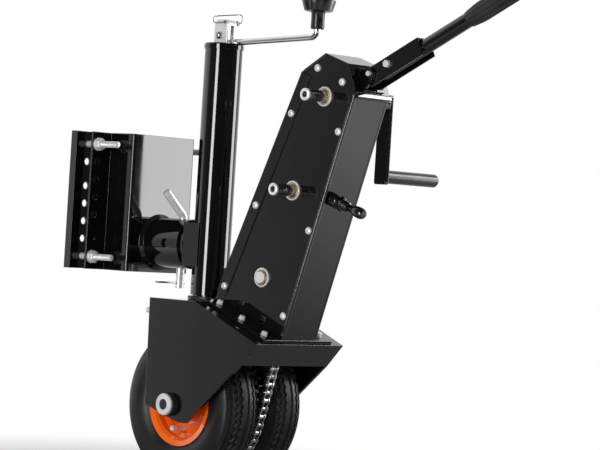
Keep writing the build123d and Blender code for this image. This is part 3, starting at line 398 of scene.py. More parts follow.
def smooth_path(path, parts=6):
    """Points on a smooth curve through the path's own points."""
    path = [Vector(point) for point in path]
    ends = [path[0] * 2 - path[1]] + path + [path[-1] * 2 - path[-2]]
    points = []
    for index in range(1, len(ends) - 2):
        p0, p1, p2, p3 = ends[index - 1:index + 3]
        for part in range(parts):
            t = part / parts
            points.append(0.5 * ((2 * p1) + (p2 - p0) * t + (2 * p0 - 5 * p1 + 4 * p2 - p3) * t * t
                                 + (3 * p1 - p0 - 3 * p2 + p3) * t ** 3))
    points.append(path[-1])
    return points


def pose(x, y, z, towards):
    """A matrix that stands a Form's Z axis along a direction, at a point."""
    axis = Vector(towards).normalized()
    side = Vector((0, 0, 1)).cross(axis)
    if side.length < 0.01:
        side = Vector((1, 0, 0)).cross(axis)
    side.normalize()
    other = axis.cross(side)
    matrix = Matrix((side, other, axis)).transposed().to_4x4()
    matrix.translation = Vector((x, y, z))
    return matrix


def along(start, end, distance, side=0.0):
    """The point a distance along a line in XZ, moved sideways to its left."""
    length = hypot(end[0] - start[0], end[1] - start[1])
    ux = (end[0] - start[0]) / length
    uz = (end[1] - start[1]) / length
    return (start[0] + ux * distance - uz * side, start[1] + uz * distance + ux * side)


# Tyres

SHOULDER_RIBS = 180
SHOULDER_BAND = (23.5, 32.5)
RIB_DEPTH = 1.7
ZIGZAGS = 60
ZIGZAG_SWING = 1.7
ZIGZAG_MIDDLES = (-20.0, -12.0, 12.0, 20.0)
ZIGZAG_GROOVE = (0.9, 3.2)
MIDDLE_GROOVE = (3.0, 2.4)
GROOVE_WALL = 0.9
CROWN_EASE = 0.35
CROWN = ((TYRE_HALF, 86.0), (33.8, 94.0), (31.2, 102.5), (26.5, 109.2), (19.5, 113.8), (10.0, 116.3),
         (0.0, TYRE_R))


def crown_radius(z):
    """The tyre's outer radius at a distance from its middle plane."""
    z = abs(z)
    for (z_high, r_low), (z_low, r_high) in zip(CROWN, CROWN[1:]):
        if z_low <= z <= z_high:
            share = (z - z_low) / (z_high - z_low)
            eased = share * share * (3 - 2 * share)
            share = eased * CROWN_EASE + share * (1 - CROWN_EASE)
            return r_high + (r_low - r_high) * share
    return TYRE_R


def groove(distance, half_width, depth):
    """How deep a groove with sloping walls is at a distance from its middle."""
    reach = half_width + GROOVE_WALL - abs(distance)
    return depth * max(0.0, min(1.0, reach / GROOVE_WALL))


def tread_radius(z, turn):
    """The tread's radius, with its zig-zag grooves and its ribbed shoulders."""
    radius = crown_radius(z)
    swing = 2.0 * abs((turn * ZIGZAGS / (2 * pi)) % 1.0 * 2 - 1) - 1.0
    for middle in ZIGZAG_MIDDLES:
        radius -= groove(z - middle - ZIGZAG_SWING * swing, *ZIGZAG_GROOVE)
    radius -= groove(z, *MIDDLE_GROOVE)
    if SHOULDER_BAND[0] < abs(z) < SHOULDER_BAND[1]:
        radius -= RIB_DEPTH * (round(turn * 2 * SHOULDER_RIBS / (2 * pi)) % 2)
    return radius


def tyre_form():
    """A wheel's tyre about Z, its tread and sidewalls from ring to ring of its section."""
    lip = [(26.0, 62.0), (28.6, 65.0), (31.5, 70.0), (32.4, 72.0), (33.0, 74.5), (34.2, 78.0)]
    bead = [(13.0, 52.0), (21.0, 52.0), (24.6, 55.0)]
    inside = [(26.5, 74.0), (27.0, 92.0), (14.0, 107.0)]
    widths = [TYRE_HALF - index for index in range(round(2 * TYRE_HALF) + 1)]
    section = [(z, r) for z, r in bead + lip]
    section += [(z, None) for z in widths]
    section += [(-z, r) for z, r in (bead + lip)[::-1]]
    section += [(-z, r) for z, r in inside] + inside[::-1]
    rings = []
    for z, fixed in section:
        rings.append([ring_point(fixed if fixed else tread_radius(z, turn), turn, z)
                      for turn in turns(2 * SHOULDER_RIBS)])
    return loft(rings, closed=True)


def wheel_pose(side):
    return pose(AXLE[0], side * WHEEL_Y, AXLE[1], (0, side, 0))


def make_tyres():
    form = Form()
    for side in (-1, 1):
        form.join(tyre_form().moved(wheel_pose(side)))
    mesh_piece("tyre_pair", form, "tyre_rubber", "wheels", ["tyres"], smooth=35.0)


# Drive chain

INNER_PLATE = (5.6, 3.95, 5.45)
OUTER_PLATE = (5.0, 5.5, 6.95)
PLATE_WAIST = 0.74


def pitch_radius(teeth):
    return CHAIN_PITCH / (2 * sin(pi / teeth))


def chain_run(centre):
    """The spread angle, and the links on a straight side and round either sprocket."""
    step_down = pitch_radius(WHEEL_TEETH) - pitch_radius(OUTPUT_TEETH)
    spread = asin(step_down / centre)
    straight = sqrt(centre ** 2 - step_down ** 2) / CHAIN_PITCH
    big_wrap = WHEEL_TEETH * (pi + 2 * spread) / (2 * pi)
    small_wrap = OUTPUT_TEETH * (pi - 2 * spread) / (2 * pi)
    return spread, straight, big_wrap, small_wrap


def drive_distance():
    """The centre distance at which the closed chain is exactly tight."""
    low = 200.0
    high = 260.0
    for _ in range(50):
        centre = (low + high) / 2
        _, straight, big_wrap, small_wrap = chain_run(centre)
        if 2 * straight + big_wrap + small_wrap < CHAIN_LINKS:
            low = centre
        else:
            high = centre
    return centre


DRIVE_C = drive_distance()
OUTPUT_AT = (AXLE[0] + DRIVE_C * sin(radians(DRIVE_LEAN)),
             AXLE[1] + DRIVE_C * cos(radians(DRIVE_LEAN)))


def drive_rollers():
    """The roller centres, round the wheel sprocket and then round the output sprocket."""
    big = pitch_radius(WHEEL_TEETH)
    small = pitch_radius(OUTPUT_TEETH)
    spread, straight, big_wrap, small_wrap = chain_run(DRIVE_C)
    line = pi / 2 - radians(DRIVE_LEAN)
    leave = line - pi / 2 + spread
    enter = line + pi / 2 - spread

    def on_circle(centre, radius, angle):
        return (centre[0] + radius * cos(angle), centre[1] + radius * sin(angle))

    centres = []
    for link in range(CHAIN_LINKS):
        count = link + 0.5
        if count < big_wrap:
            centres.append(on_circle(AXLE, big, enter + 2 * pi * count / WHEEL_TEETH))
            continue
        count -= big_wrap
        if count < straight:
            centres.append(along(on_circle(AXLE, big, leave), on_circle(OUTPUT_AT, small, leave),
                                 count * CHAIN_PITCH))
            continue
        count -= straight
        if count < small_wrap:
            centres.append(on_circle(OUTPUT_AT, small, leave + 2 * pi * count / OUTPUT_TEETH))
            continue
        count -= small_wrap
        centres.append(along(on_circle(OUTPUT_AT, small, enter), on_circle(AXLE, big, enter),
                             count * CHAIN_PITCH))
    return centres


def link_plate(half_height, y_low, y_high):
    """A waisted link plate, level along X, with softened rims."""
    outline = []
    for end in (1, -1):
        for step in range(9):
            angle = radians(-100 + 25 * step)
            outline.append((end * (CHAIN_PITCH / 2 + half_height * cos(angle)),
                            end * half_height * sin(angle)))
        outline.append((0.0, end * half_height * PLATE_WAIST))
    rings = []
    soft = 0.3
    for y, inset in ((y_low, soft), (y_low + soft, 0), (y_high - soft, 0), (y_high, soft)):
        scale = 1 - inset / half_height
        rings.append([Vector((x - (inset if x > 0 else -inset), y, z * scale)) for x, z in outline])
    return loft(rings)


def plate_pair(half_height, y_low, y_high):
    """A link's two plates, one on either side."""
    return link_plate(half_height, y_low, y_high).join(link_plate(half_height, -y_high, -y_low))


def chain_links():
    """The inner link with its rollers, and the outer link with its pins."""
    inner = plate_pair(*INNER_PLATE)
    outer = plate_pair(*OUTER_PLATE)
    across = Matrix.Rotation(radians(90), 4, "X")
    for side in (-1, 1):
        at_pin = Matrix.Translation((side * CHAIN_PITCH / 2, 0, 0)) @ across
        roller = lathe([(2.4, -3.8), (3.6, -3.8), (ROLLER_R, -3.4), (ROLLER_R, 3.4), (3.6, 3.8),
                        (2.4, 3.8)], 18)
        pin = lathe([(1.2, -7.6), (1.8, -7.2), (1.8, 7.2), (1.2, 7.6)], 12)
        inner.join(roller.moved(at_pin))
        outer.join(pin.moved(at_pin))
    return inner, outer


def make_chain():
    inner, outer = chain_links()
    centres = drive_rollers()
    form = Form()
    for index, start in enumerate(centres):
        end = centres[(index + 1) % len(centres)]
        turn = atan2(end[1] - start[1], end[0] - start[0])
        place = Matrix.Translation(((start[0] + end[0]) / 2, 0, (start[1] + end[1]) / 2))
        place = place @ Matrix.Rotation(-turn, 4, "Y")
        form.join((inner if index % 2 == 0 else outer).moved(place))
    mesh_piece("roller_chain", form, "chain_steel", "carriage", ["drive_chain"])


# Fasteners

CLAMP_R = 5.0
CLAMP_FLATS = 16.0
CLAMP_SHANK = 30.0
CLAMP_REACH = 70.5
WASHER_SHEET = 1.8
M8_R = 4.0
M8_SHANK_R = 3.95
M8_PITCH = 1.25
M8_GROOVE = 0.6
M8_FLATS = 13.0
BASE_BOLTS = (15.0, 66.0, 117.0)
BASE_FLATS = 8.0
FRONT_SCREWS = (0.07, 0.43, 0.83)
FRONT_SCREW_INSET = 9.0
REAR_SCREWS = (0.16, 0.56, 0.91)
REAR_SCREW_INSET = 10.0
PEAK_SCREW = (27.0, -10.0)
KNEE_SCREW = (20.0, -17.0)
SCREW_TURN = 37.0


def clamp_points():
    top = BRACKET_TOP - TOP_HOLE_DROP
    return [(y, z) for y in (-HOLE_Y, HOLE_Y) for z in (top, top - HOLE_RUN)]


def make_clamp_bolts():
    """The bracket's bolts with rolled threads, and their nuts on washers."""
    face = FLANGE_X - CLAMP_GAP - BAR_SHEET
    bolts = Form()
    nuts = Form()
    for y, z in clamp_points():
        place = pose(face, y, z, (1, 0, 0))
        bolts.join(hexagon(CLAMP_FLATS, 0, 6.4).moved(pose(face, y, z, (-1, 0, 0))))
        bolts.join(lathe([(CLAMP_R, -0.5), (CLAMP_R, CLAMP_SHANK)], 20).moved(place))
        bolts.join(thread(CLAMP_R, CLAMP_SHANK - 0.5, CLAMP_REACH).moved(place))
        seat = pose(FLANGE_X, y, z, (1, 0, 0))
        nuts.join(lathe([(5.1, 0), (9.7, 0), (10.0, 0.3), (10.0, 1.5), (9.7, WASHER_SHEET),
                         (5.1, WASHER_SHEET)], closed=True).moved(seat))
        nuts.join(hexagon(CLAMP_FLATS, WASHER_SHEET, 10.0).moved(seat))
    mesh_piece("bracket_bolts", bolts, "zinc", "bracket", ["clamp_bolts"])
    mesh_piece("bracket_nuts", nuts, "zinc", "bracket", ["clamp_nuts"])


def screw_points():
    """The cover screws: three down the front flange, three down the rear edge, two at the roof."""
    front_fall = FRONT_TOP[1] - FRONT_FOOT_Z
    front_foot = (FRONT_TOP[0] - front_fall * tan(radians(FRONT_LEAN)), FRONT_FOOT_Z)
    rear_foot = rear_line()[1]
    front = hypot(FRONT_TOP[0] - front_foot[0], FRONT_TOP[1] - front_foot[1])
    rear = hypot(rear_foot[0] - REAR_TOP[0], rear_foot[1] - REAR_TOP[1])
    points = [along(front_foot, FRONT_TOP, front * part, -FRONT_SCREW_INSET) for part in FRONT_SCREWS]
    points += [along(REAR_TOP, rear_foot, rear * part, -REAR_SCREW_INSET) for part in REAR_SCREWS]
    points.append(along(FRONT_TOP, ROOF_PEAK, *PEAK_SCREW))
    points.append(along(ROOF_KNEE, REAR_TOP, *KNEE_SCREW))
    return points


def cross_recess():
    """The two crossed wedges that are cut in a screw's head."""
    form = Form()
    for turn in (0, 90):
        top = [(-2.9, -0.55), (2.9, -0.55), (2.9, 0.55), (-2.9, 0.55)]
        low = [(-1.2, -0.45), (1.2, -0.45), (1.2, 0.45), (-1.2, 0.45)]
        rings = [[Vector((x, y, 1.6)) for x, y in low], [Vector((x, y, 4.4)) for x, y in top]]
        form.join(loft(rings).moved(Matrix.Rotation(radians(turn), 4, "Z")))
    return form


def plain_object(form):
    """A Form as a scene object, for one cut."""
    mesh = bpy.data.meshes.new("blank")
    mesh.from_pydata([tuple(point) for point in form.points], [], form.faces)
    built = bpy.data.objects.new("blank", mesh)
    bpy.context.scene.collection.objects.link(built)
    return built


def cut_form(form, cutter_form):
    """A Form with another one cut out of it."""
    blank = plain_object(form)
    cutter = plain_object(cutter_form)
    modifier = blank.modifiers.new("cut", "BOOLEAN")
    modifier.operation = "DIFFERENCE"
    modifier.use_self = True
    modifier.object = cutter
    graph = bpy.context.evaluated_depsgraph_get()
    mesh = bpy.data.meshes.new_from_object(blank.evaluated_get(graph))
    result = Form([vertex.co.copy() for vertex in mesh.vertices],
                  [tuple(polygon.vertices) for polygon in mesh.polygons])
    bpy.data.objects.remove(blank)
    bpy.data.objects.remove(cutter)
    return result


def make_cover_screws():
    head = lathe([(2.0, -1.5), (5.2, -0.2), (5.6, 0.2), (5.5, 1.3), (4.8, 2.4), (3.4, 3.3), (1.8, 3.8),
                  (TIP_R, 3.9)], 28)
    head = cut_form(head, cross_recess())
    form = Form()
    for side in (-1, 1):
        for index, (x, z) in enumerate(screw_points()):
            seat = COVER_SHEET if index < 3 else 0.0
            turned = Matrix.Rotation(radians(SCREW_TURN * index), 4, "Z")
            form.join(head.moved(pose(x, side * (BOX_HALF + seat), z, (0, side, 0)) @ turned))
    mesh_piece("pan_screws", form, "zinc", "carriage", ["cover_screws"], smooth=32.0)


def m8_thread(low, high):
    """A length of 8 mm thread along Z."""
    return thread(M8_R, low, high, M8_PITCH, M8_GROOVE)


def make_frame_bolts():
    """The foot's hexagon bolts on their washers, and the two of the front lip."""
    slope = Vector((FRAME_CREST[1] - FRAME_KNEE[1], 0, FRAME_KNEE[0] - FRAME_CREST[0]))
    form = Form()
    for distance in BASE_BOLTS:
        x, z = along(FRAME_CREST, FRAME_KNEE, distance)
        for y in (-FOOT_BOLT_Y, FOOT_BOLT_Y):
            place = pose(x, y, z, slope)
            form.join(lathe([(4.2, 4.1), (5.1, 4.1), (5.3, 4.3), (5.3, 4.9), (5.1, 5.1), (4.2, 5.1)],
                            closed=True).moved(place))
            form.join(hexagon(BASE_FLATS, 5.1, 9.8, 0.8).moved(place))
            form.join(m8_thread(5.0, 14.0).moved(pose(x, y, z, -slope)))
    lip_x, lip_y, lip_z = LIP_BOLT
    for y in (-lip_y, lip_y):
        place = pose(lip_x, y, lip_z, (-1, 0, 0))
        form.join(hexagon(M8_FLATS, 0, 7.0, 0.8).moved(place))
        form.join(m8_thread(6.0, 21.2).moved(place))
    mesh_piece("hexagon_bolts", form, "zinc", "carriage", ["frame_bolts"])


# Shafts, bushings and cover trim

DRILL_R = 4.4
DRILL_DEPTH = 14.0
FAR_END = 4.0
CROSS_PIN_AT = 0.55
BEAD_R = 3.5
BEAD_INSET = 2.45


def make_bushings():
    """Brass bushings in bright rings, where the three shafts pass the gearbox's sides."""
    brass = Form()
    rings = Form()
    for side in (-1, 1):
        for x, z in (INPUT_AT, MIDDLE_AT, OUTPUT_AT):
            place = pose(x, side * BOX_HALF, z, (0, side, 0))
            brass.join(lathe([(8.6, -5.8), (11.8, -5.8), (11.8, 2.6), (11.2, 3.4), (9.4, 3.6), (8.6, 3.0)],
                             48, closed=True).moved(place))
            rings.join(lathe([(11.9, 0.0), (14.3, 0.0), (14.5, 0.4), (14.4, 2.0), (13.8, 2.7), (12.4, 2.7),
                              (11.9, 2.2)], 48, closed=True).moved(place))
    mesh_piece("bronze_bushings", brass, "brass", "carriage", ["shaft_bushings"])
    mesh_piece("bushing_rings", rings, "zinc", "carriage")


def make_shaft_ends():
    """The middle shaft with its cross pin, and bright rings on both drilled ends."""
    left = -BOX_HALF - STUB_LENGTH
    right = BOX_HALF + FAR_END
    x, z = MIDDLE_AT
    form = lathe([(TIP_R, left + DRILL_DEPTH), (DRILL_R, left + DRILL_DEPTH), (DRILL_R, left + 0.5),
                  (4.9, left), (7.6, left), (SHAFT_R, left + 0.9), (SHAFT_R, right - 0.8), (7.7, right),
                  (TIP_R, right)], 40)
    form = form.moved(pose(x, 0, z, (0, 1, 0)))
    pin = lathe([(TIP_R, -12.0), (2.1, -12.0), (2.5, -11.6), (2.5, 11.6), (2.1, 12.0), (TIP_R, 12.0)], 20)
    form.join(pin.moved(pose(x, -BOX_HALF - CROSS_PIN_AT * STUB_LENGTH, z, (1, 0, 0))))
    mesh_piece("cross_pinned_shaft", form, "machined_steel", "middle", ["middle_shaft"])
    ring = lathe([(4.5, 0.4), (4.5, -0.7), (5.0, -1.2), (7.8, -1.2), (8.9, -0.3), (8.9, 2.6),
                  (SHAFT_R, 2.6), (SHAFT_R, 0.4)], 40, closed=True)
    for body, (x, z) in (("input", INPUT_AT), ("middle", MIDDLE_AT)):
        end = ring.moved(pose(x, left, z, (0, 1, 0)))
        mesh_piece(body + "_end_ring", end, "zinc", body)


def rear_line():
    """The rear cover's line, from its top to the frame's slope."""
    rear_lean = tan(radians(REAR_LEAN))
    fall = (FRAME_KNEE[1] - FRAME_CREST[1]) / (FRAME_KNEE[0] - FRAME_CREST[0])
    start = along(FRAME_CREST, FRAME_KNEE, 0.0, FOOT_SHEET)
    drop = (REAR_TOP[1] - start[1] - fall * (REAR_TOP[0] - start[0])) / (1 - fall * rear_lean)
    return REAR_TOP, (REAR_TOP[0] - rear_lean * drop, REAR_TOP[1] - drop)


def make_cover_trim():
    """The side plates' rolled rear edges, and the ledge along the rear cover's top."""
    top, foot = rear_line()
    x0, z0 = along(top, foot, 1.5, -BEAD_INSET)
    x1, z1 = along(foot, top, 6.0, BEAD_INSET)
    beads = Form()
    for y in (BEAD_INSET - BOX_HALF, BOX_HALF - BEAD_INSET):
        beads.join(wire([(x0, y, z0), (x1, y, z1)], BEAD_R, 32))
    mesh_piece("rear_edge_beads", beads, "black_paint", "carriage")
    section = [(-2.5, 0.2), (-2.5, 4.0), (1.9, 7.2), (2.9, 6.9), (5.5, 3.6), (5.5, 0.2)]
    outline = [along(top, foot, down, out) for down, out in section]
    form = loft([[Vector((x, y, z)) for x, z in outline] for y in (-BOX_HALF, BOX_HALF)])
    mesh_piece("cover_ledge", form, "black_paint", "carriage")


# Knobs and grips

KNOB_RISE = 11.0


def lobed_form(profile, lobes, sharpness, steps):
    """A turned solid from (radius, height, dip) points, its rings dipping between their lobes."""
    rings = []
    for radius, height, depth in profile:
        ring = []
        for angle in turns(steps):
            dip = max(0.0, cos(lobes * angle)) ** sharpness
            ring.append(ring_point(radius - depth * dip, angle, height))
        rings.append(ring)
    return loft(rings)


def make_knob():
    """The jack crank's knob: a flared, scalloped head on a long waisted neck."""
    base = ROD_END[1] + KNOB_RISE
    profile = ((5.1, 0, 0), (9.0, 0, 0), (9.6, 0.6, 0), (10.2, 3, 0), (9.9, 14, 0), (10.2, 23, 0),
               (11.5, 25.4, 0), (19.0, 26.0, 0.4), (20.8, 26.8, 0.8), (22.2, 31.5, 1.3),
               (23.7, 36.5, 1.9), (24.9, 40.5, 2.4), (25.0, 42.3, 2.4), (24.0, 43.5, 2.0),
               (16.0, 44.0, 0.8), (8.0, 43.6, 0), (TIP_R, 43.5, 0))
    form = lobed_form(profile, lobes=6, sharpness=1.5, steps=96)
    form = form.moved(pose(ROD_END[0], 0, base, (0, 0, 1)))
    mesh_piece("scalloped_knob", form, "black_plastic", "jack_knob", ["crank_knob"])


def handle_matrix():
    """The handle's frame: X along the handle from its hinge, Z to its upper side."""
    place = Matrix.Translation((HINGE_AT[0], 0, HINGE_AT[1]))
    return place @ Matrix.Rotation(radians(-HANDLE_TILT), 4, "Y")


def make_grip():
    """The steering handle's rubber grip: a fluted flare, a smooth collar and a rounded end."""
    profile = ((BAR_R + 0.05, 0, 0), (11.8, 0, 0), (12.1, 0.6, 0.3), (12.9, 7, 0.9), (14.2, 17, 1.4),
               (14.7, 26, 1.5), (14.7, 60, 1.5), (14.7, 101, 1.4),
               (14.5, 105, 0), (14.8, 108, 0), (14.7, 112, 0), (13.2, 117.0, 0), (11.0, 119.6, 0),
               (5.0, 120, 0), (TIP_R, 120, 0))
    form = lobed_form(profile, lobes=12, sharpness=0.6, steps=120)
    form = form.moved(handle_matrix() @ pose(GRIP_START, 0, BAR_Z, (1, 0, 0)))
    mesh_piece("fluted_grip", form, "grip_rubber", "handle", ["handle_grip"])


def cross_bolt(half, x, z, head, head_height):
    """A bolt along Y through a width of two halves, with its head at -Y and its nut at +Y."""
    end = half + 9
    shank = lathe([(TIP_R, -half), (M8_SHANK_R, -half), (M8_SHANK_R, end), (3.2, end + 0.8),
                   (TIP_R, end + 0.8)], 20)
    bolt = shank.moved(pose(x, 0, z, (0, 1, 0)))
    bolt.join(hexagon(head, 0, head_height).moved(pose(x, -half, z, (0, -1, 0))))
    return bolt.join(hexagon(M8_FLATS, 0, 6.5).moved(pose(x, half, z, (0, 1, 0))))


def make_handle_bolts():
    """The pivot bolt in the hinge's ears, and the bolt that holds the bar in its channel."""
    pivot = cross_bolt(CHANNEL_HALF + HINGE_EAR, *HINGE_AT, head=7.0, head_height=3.0)
    mesh_piece("pivot_bolt", pivot, "zinc", "carriage", ["hinge_bolt"])
    bolt = cross_bolt(CHANNEL_HALF, *SOCKET_BOLT, head=10.0, head_height=5.0)
    bolt = bolt.moved(handle_matrix())
    mesh_piece("bar_bolt", bolt, "zinc", "handle", ["socket_bolt"])


def make_plunger():
    """The locking plunger: a threaded sleeve with its lock nut, and the pin with its knob."""
    lean = radians(REAR_LEAN)
    place = pose(*PLUNGER_ROOT, (cos(lean), 0, -sin(lean)))
    sleeve = lathe([(5.6, 0), (10.0, 0), (10.0, 13.4), (9.4, 14.2), (5.6, 14.2)], 36, closed=True)
    sleeve.join(thread(7.6, 14.0, 33.4, 1.5, 0.7, 28))
    sleeve.join(hexagon(19.0, 16.0, 23.0))
    sleeve = sleeve.moved(place)
    mesh_piece("plunger_sleeve", sleeve, "black_paint", "carriage", ["plunger_boss"])
    pin = lathe([(TIP_R, -40.0), (3.2, -40.0), (4.4, -38.0), (4.4, -9.0), (5.4, -8.5), (5.4, 43.0),
                 (6.2, 44.0), (7.4, 48.0), (8.4, 53.0), (8.5, 58.0), (7.8, 62.5), (6.0, 65.2),
                 (2.0, 66.0), (TIP_R, 66.0)], 40).moved(place)
    mesh_piece("plunger_knob", pin, "black_paint", "plunger", ["plunger_pin"])


# Jack head and locking pin

WIRE_R = 0.9
CLIP_R = 1.25


def make_crank_pins():
    """The pivot and the wire-lock pin of the jack's crank, with the lock pin's wire bail."""
    x, z = ROD_PIVOT
    pivot = lathe([(TIP_R, -16.0), (3.0, -15.9), (4.8, -15.0), (5.5, -13.4), (5.5, -10.0), (3.0, -10.0),
                   (3.0, 10.0), (4.6, 10.0), (4.6, 12.4), (4.2, 13.0), (TIP_R, 13.0)], 32)
    form = pivot.moved(pose(x, 0, z, (0, 1, 0)))
    x, z = LOCK_PIN_AT
    lock = lathe([(TIP_R, -13.0), (2.0, -12.8), (2.5, -12.0), (2.5, 13.5), (3.9, 13.8), (3.9, 16.8),
                  (3.4, 17.2), (TIP_R, 17.2)], 24)
    form.join(lock.moved(pose(x, 0, z, (0, 1, 0))))
    bail = [(-13, -11, 700.5), (-8, -9, 701), (0, 0, 702.6), (8, 10, 704), (14, 14.5, 705),
            (18.5, 15.5, 703), (19.5, 15.8, 697.5), (16.5, 15.8, 692.5), (10.5, 15.4, 691.2)]
    form.join(wire(bail, WIRE_R))
    hook = [(-13, -11, 700.5), (-14.2, -12, 698), (-13, -12.4, 692), (-8, -12.2, 690.5), (0, -12.2, 691),
            (9.5, -12.2, 691.5)]
    form.join(wire(hook, WIRE_R))
    mesh_piece("head_pins", form, "spring_steel", "jack_crank", ["crank_pins"])


def make_clip():
    """The hairpin clip through the locking pin's foot."""
    z = PIN_FOOT_Z + 8
    path = [(PIN_X, 12, z), (PIN_X, -10, z), (PIN_X, -34, z), (PIN_X - 2, -41, z), (PIN_X - 6, -43, z),
            (PIN_X - 10, -39.5, z), (PIN_X - 9.6, -30, z), (PIN_X - 6.8, -16, z), (PIN_X - 8.4, -6, z),
            (PIN_X - 8.2, 2, z), (PIN_X - 7.2, 8, z)]
    form = wire(path, CLIP_R)
    mesh_piece("hairpin_clip", form, "spring_steel", "clip", ["pin_clip"])


def make_saddle():
    """The block on the tube's side that carries the spigot, hollowed to sit against the tube."""
    back = -30.0
    front = 2.5
    half = 33.0
    inside = TUBE_R + 0.05
    start = atan2(-sqrt(inside ** 2 - front ** 2), front)
    sweep = 2 * pi + 2 * start
    steps = 36
    angles = [start - sweep * step / steps for step in range(steps + 1)]
    arc = [(inside * cos(angle), inside * sin(angle)) for angle in angles]
    outline = [(back, -half), (front, -half)] + arc + [(front, half), (back, half)]
    form = loft([[Vector((x, y, SWIVEL_Z + rise)) for x, y in outline] for rise in (-half, half)])
    mesh_piece("tube_saddle", form, "black_paint", "jack", ["swivel_block"])


# Dressing of the CAD nodes

FINISHES = {
    "zinc": ("locking_pin", "crank_head", "king_nut", "axle_rings", "output_shaft", "valve_stems"),
    "chrome": ("crank_rod",),
    "dark_steel": ("axle", "axle_housings", "wheel_sprocket", "king_pin"),
    "orange_paint": ("rims",),
    "brass": ("lift_nut",),
    "black_plastic": ("drive_crank_grip",),
    "machined_steel": ("lift_screw", "input_shaft", "input_sprocket", "middle_sprockets", "lock_collar",
                       "output_sprockets"),
    "chain_steel": ("upper_chain", "lower_chain"),
}


def dress_nodes(nodes):
    """Gives every CAD node its finish; what isn't listed is painted black."""
    finish_of = {name: finish for finish, names in FINISHES.items() for name in names}
    for name, node in nodes.items():
        finish = finish_of.get(name, "black_paint")
        for slot in node.material_slots:
            slot.material = MATERIALS[finish]


# Studio

def camera_axes():
    """The camera's right, up and backward directions, with its roll."""
    azimuth = radians(CAMERA_AZIMUTH)
    elevation = radians(CAMERA_ELEVATION)
    roll = radians(CAMERA_ROLL)
    back = Vector((sin(azimuth) * cos(elevation), -cos(azimuth) * cos(elevation), sin(elevation)))
    right = Vector((cos(azimuth), sin(azimuth), 0))
    up = back.cross(right)
    return right * cos(roll) + up * sin(roll), up * cos(roll) - right * sin(roll), back, right


def make_camera():
    """The camera at the photograph's place, with the photograph's field of view."""
    rolled_right, rolled_up, back, right = camera_axes()
    point = right * CAMERA_ASIDE + Vector((0, 0, CAMERA_HEIGHT)) + back * CAMERA_DISTANCE
    data = bpy.data.cameras.new("camera")
    data.sensor_width = SENSOR
    data.lens = FOCAL_PIXELS / PHOTO_WIDTH * SENSOR
    data.clip_end = 60.0
    camera = bpy.data.objects.new("camera", data)
    bpy.context.scene.collection.objects.link(camera)
    matrix = Matrix((rolled_right, rolled_up, back)).transposed().to_4x4()
    matrix.translation = to_frame(*point)
    camera.matrix_world = matrix
    bpy.context.scene.camera = camera


def softbox(name, centre, target, width, height, radiance):
    """A rectangular lamp of even brightness, metres wide and high, aimed at a point."""
    data = bpy.data.lights.new(name, "AREA")
    data.shape = "RECTANGLE"
    data.size = width
    data.size_y = height
    data.energy = radiance * width * height * pi
    lamp = bpy.data.objects.new(name, data)
    bpy.context.scene.collection.objects.link(lamp)
    start = to_frame(*centre)
    aim = (to_frame(*target) - start).normalized()
    lamp.rotation_mode = "QUATERNION"
    lamp.rotation_quaternion = aim.to_track_quat("-Z", "Y")
    lamp.location = start
    lamp.visible_camera = False


def make_lamps():
    """A tall strip at the camera's left, two softboxes behind at its right and a small one behind."""
    softbox("strip", (960, -5922, 700), (0, 0, 700), width=1.65, height=4.2, radiance=10.0)
    softbox("side_box", (886, 1330, 900), (-138, 115, 900), width=0.635, height=1.2, radiance=6.5)
    softbox("rear_box", (1436, 1458, 1368), (312, 0, 580), width=0.7, height=0.4, radiance=6.5)
    softbox("deck_box", (-825, 1520, 1115), (215, 60, 215), width=0.5, height=0.2, radiance=0.9)


# Backdrop and floor; the floor's distances are in metres

DARK_TURN = 16.0
HALF_LIGHT = 0.5
BACKDROP_STOPS = ((0.20, 1.0), (0.345, 0.75), (0.365, 0.42), (0.41, 0.12), (0.60, 0.08), (1.0, 0.03))
FLOOR_FADE = (0.30, 0.85)
# Distances and strengths of the floor's painted reflection: a glow seen only in gloss, dim near the object
# as painted shade
PAINTED_REFLECTION_FADE = (0.45, 1.5)
PAINTED_REFLECTION_LEVELS = (0.2, 1.1)
FLOOR_NEAR = -0.95
FLOOR_FAR = 14.0
FLOOR_CENTRE = (60, 0, 0)


def studio_levels(tree):
    """How bright gloss sees the studio: white past the object, dark at the camera's side."""
    nodes = tree.nodes
    coordinates = nodes.new("ShaderNodeTexCoord")
    facing = nodes.new("ShaderNodeVectorMath")
    facing.operation = "DOT_PRODUCT"
    dark_turn = radians(CAMERA_AZIMUTH + DARK_TURN)
    facing.inputs[1].default_value = (sin(dark_turn), -cos(dark_turn), 0)
    tree.links.new(coordinates.outputs["Generated"], facing.inputs[0])
    span = nodes.new("ShaderNodeMapRange")
    span.inputs["From Min"].default_value = -1.0
    tree.links.new(facing.outputs["Value"], span.inputs["Value"])
    ramp = nodes.new("ShaderNodeValToRGB")
    tree.links.new(span.outputs["Result"], ramp.inputs["Fac"])
    elements = ramp.color_ramp.elements
    while len(elements) < len(BACKDROP_STOPS):
        elements.new(0.5)
    for element, (position, level) in zip(elements, BACKDROP_STOPS):
        element.position = position
        element.color = (level, level, level, 1)
    return ramp


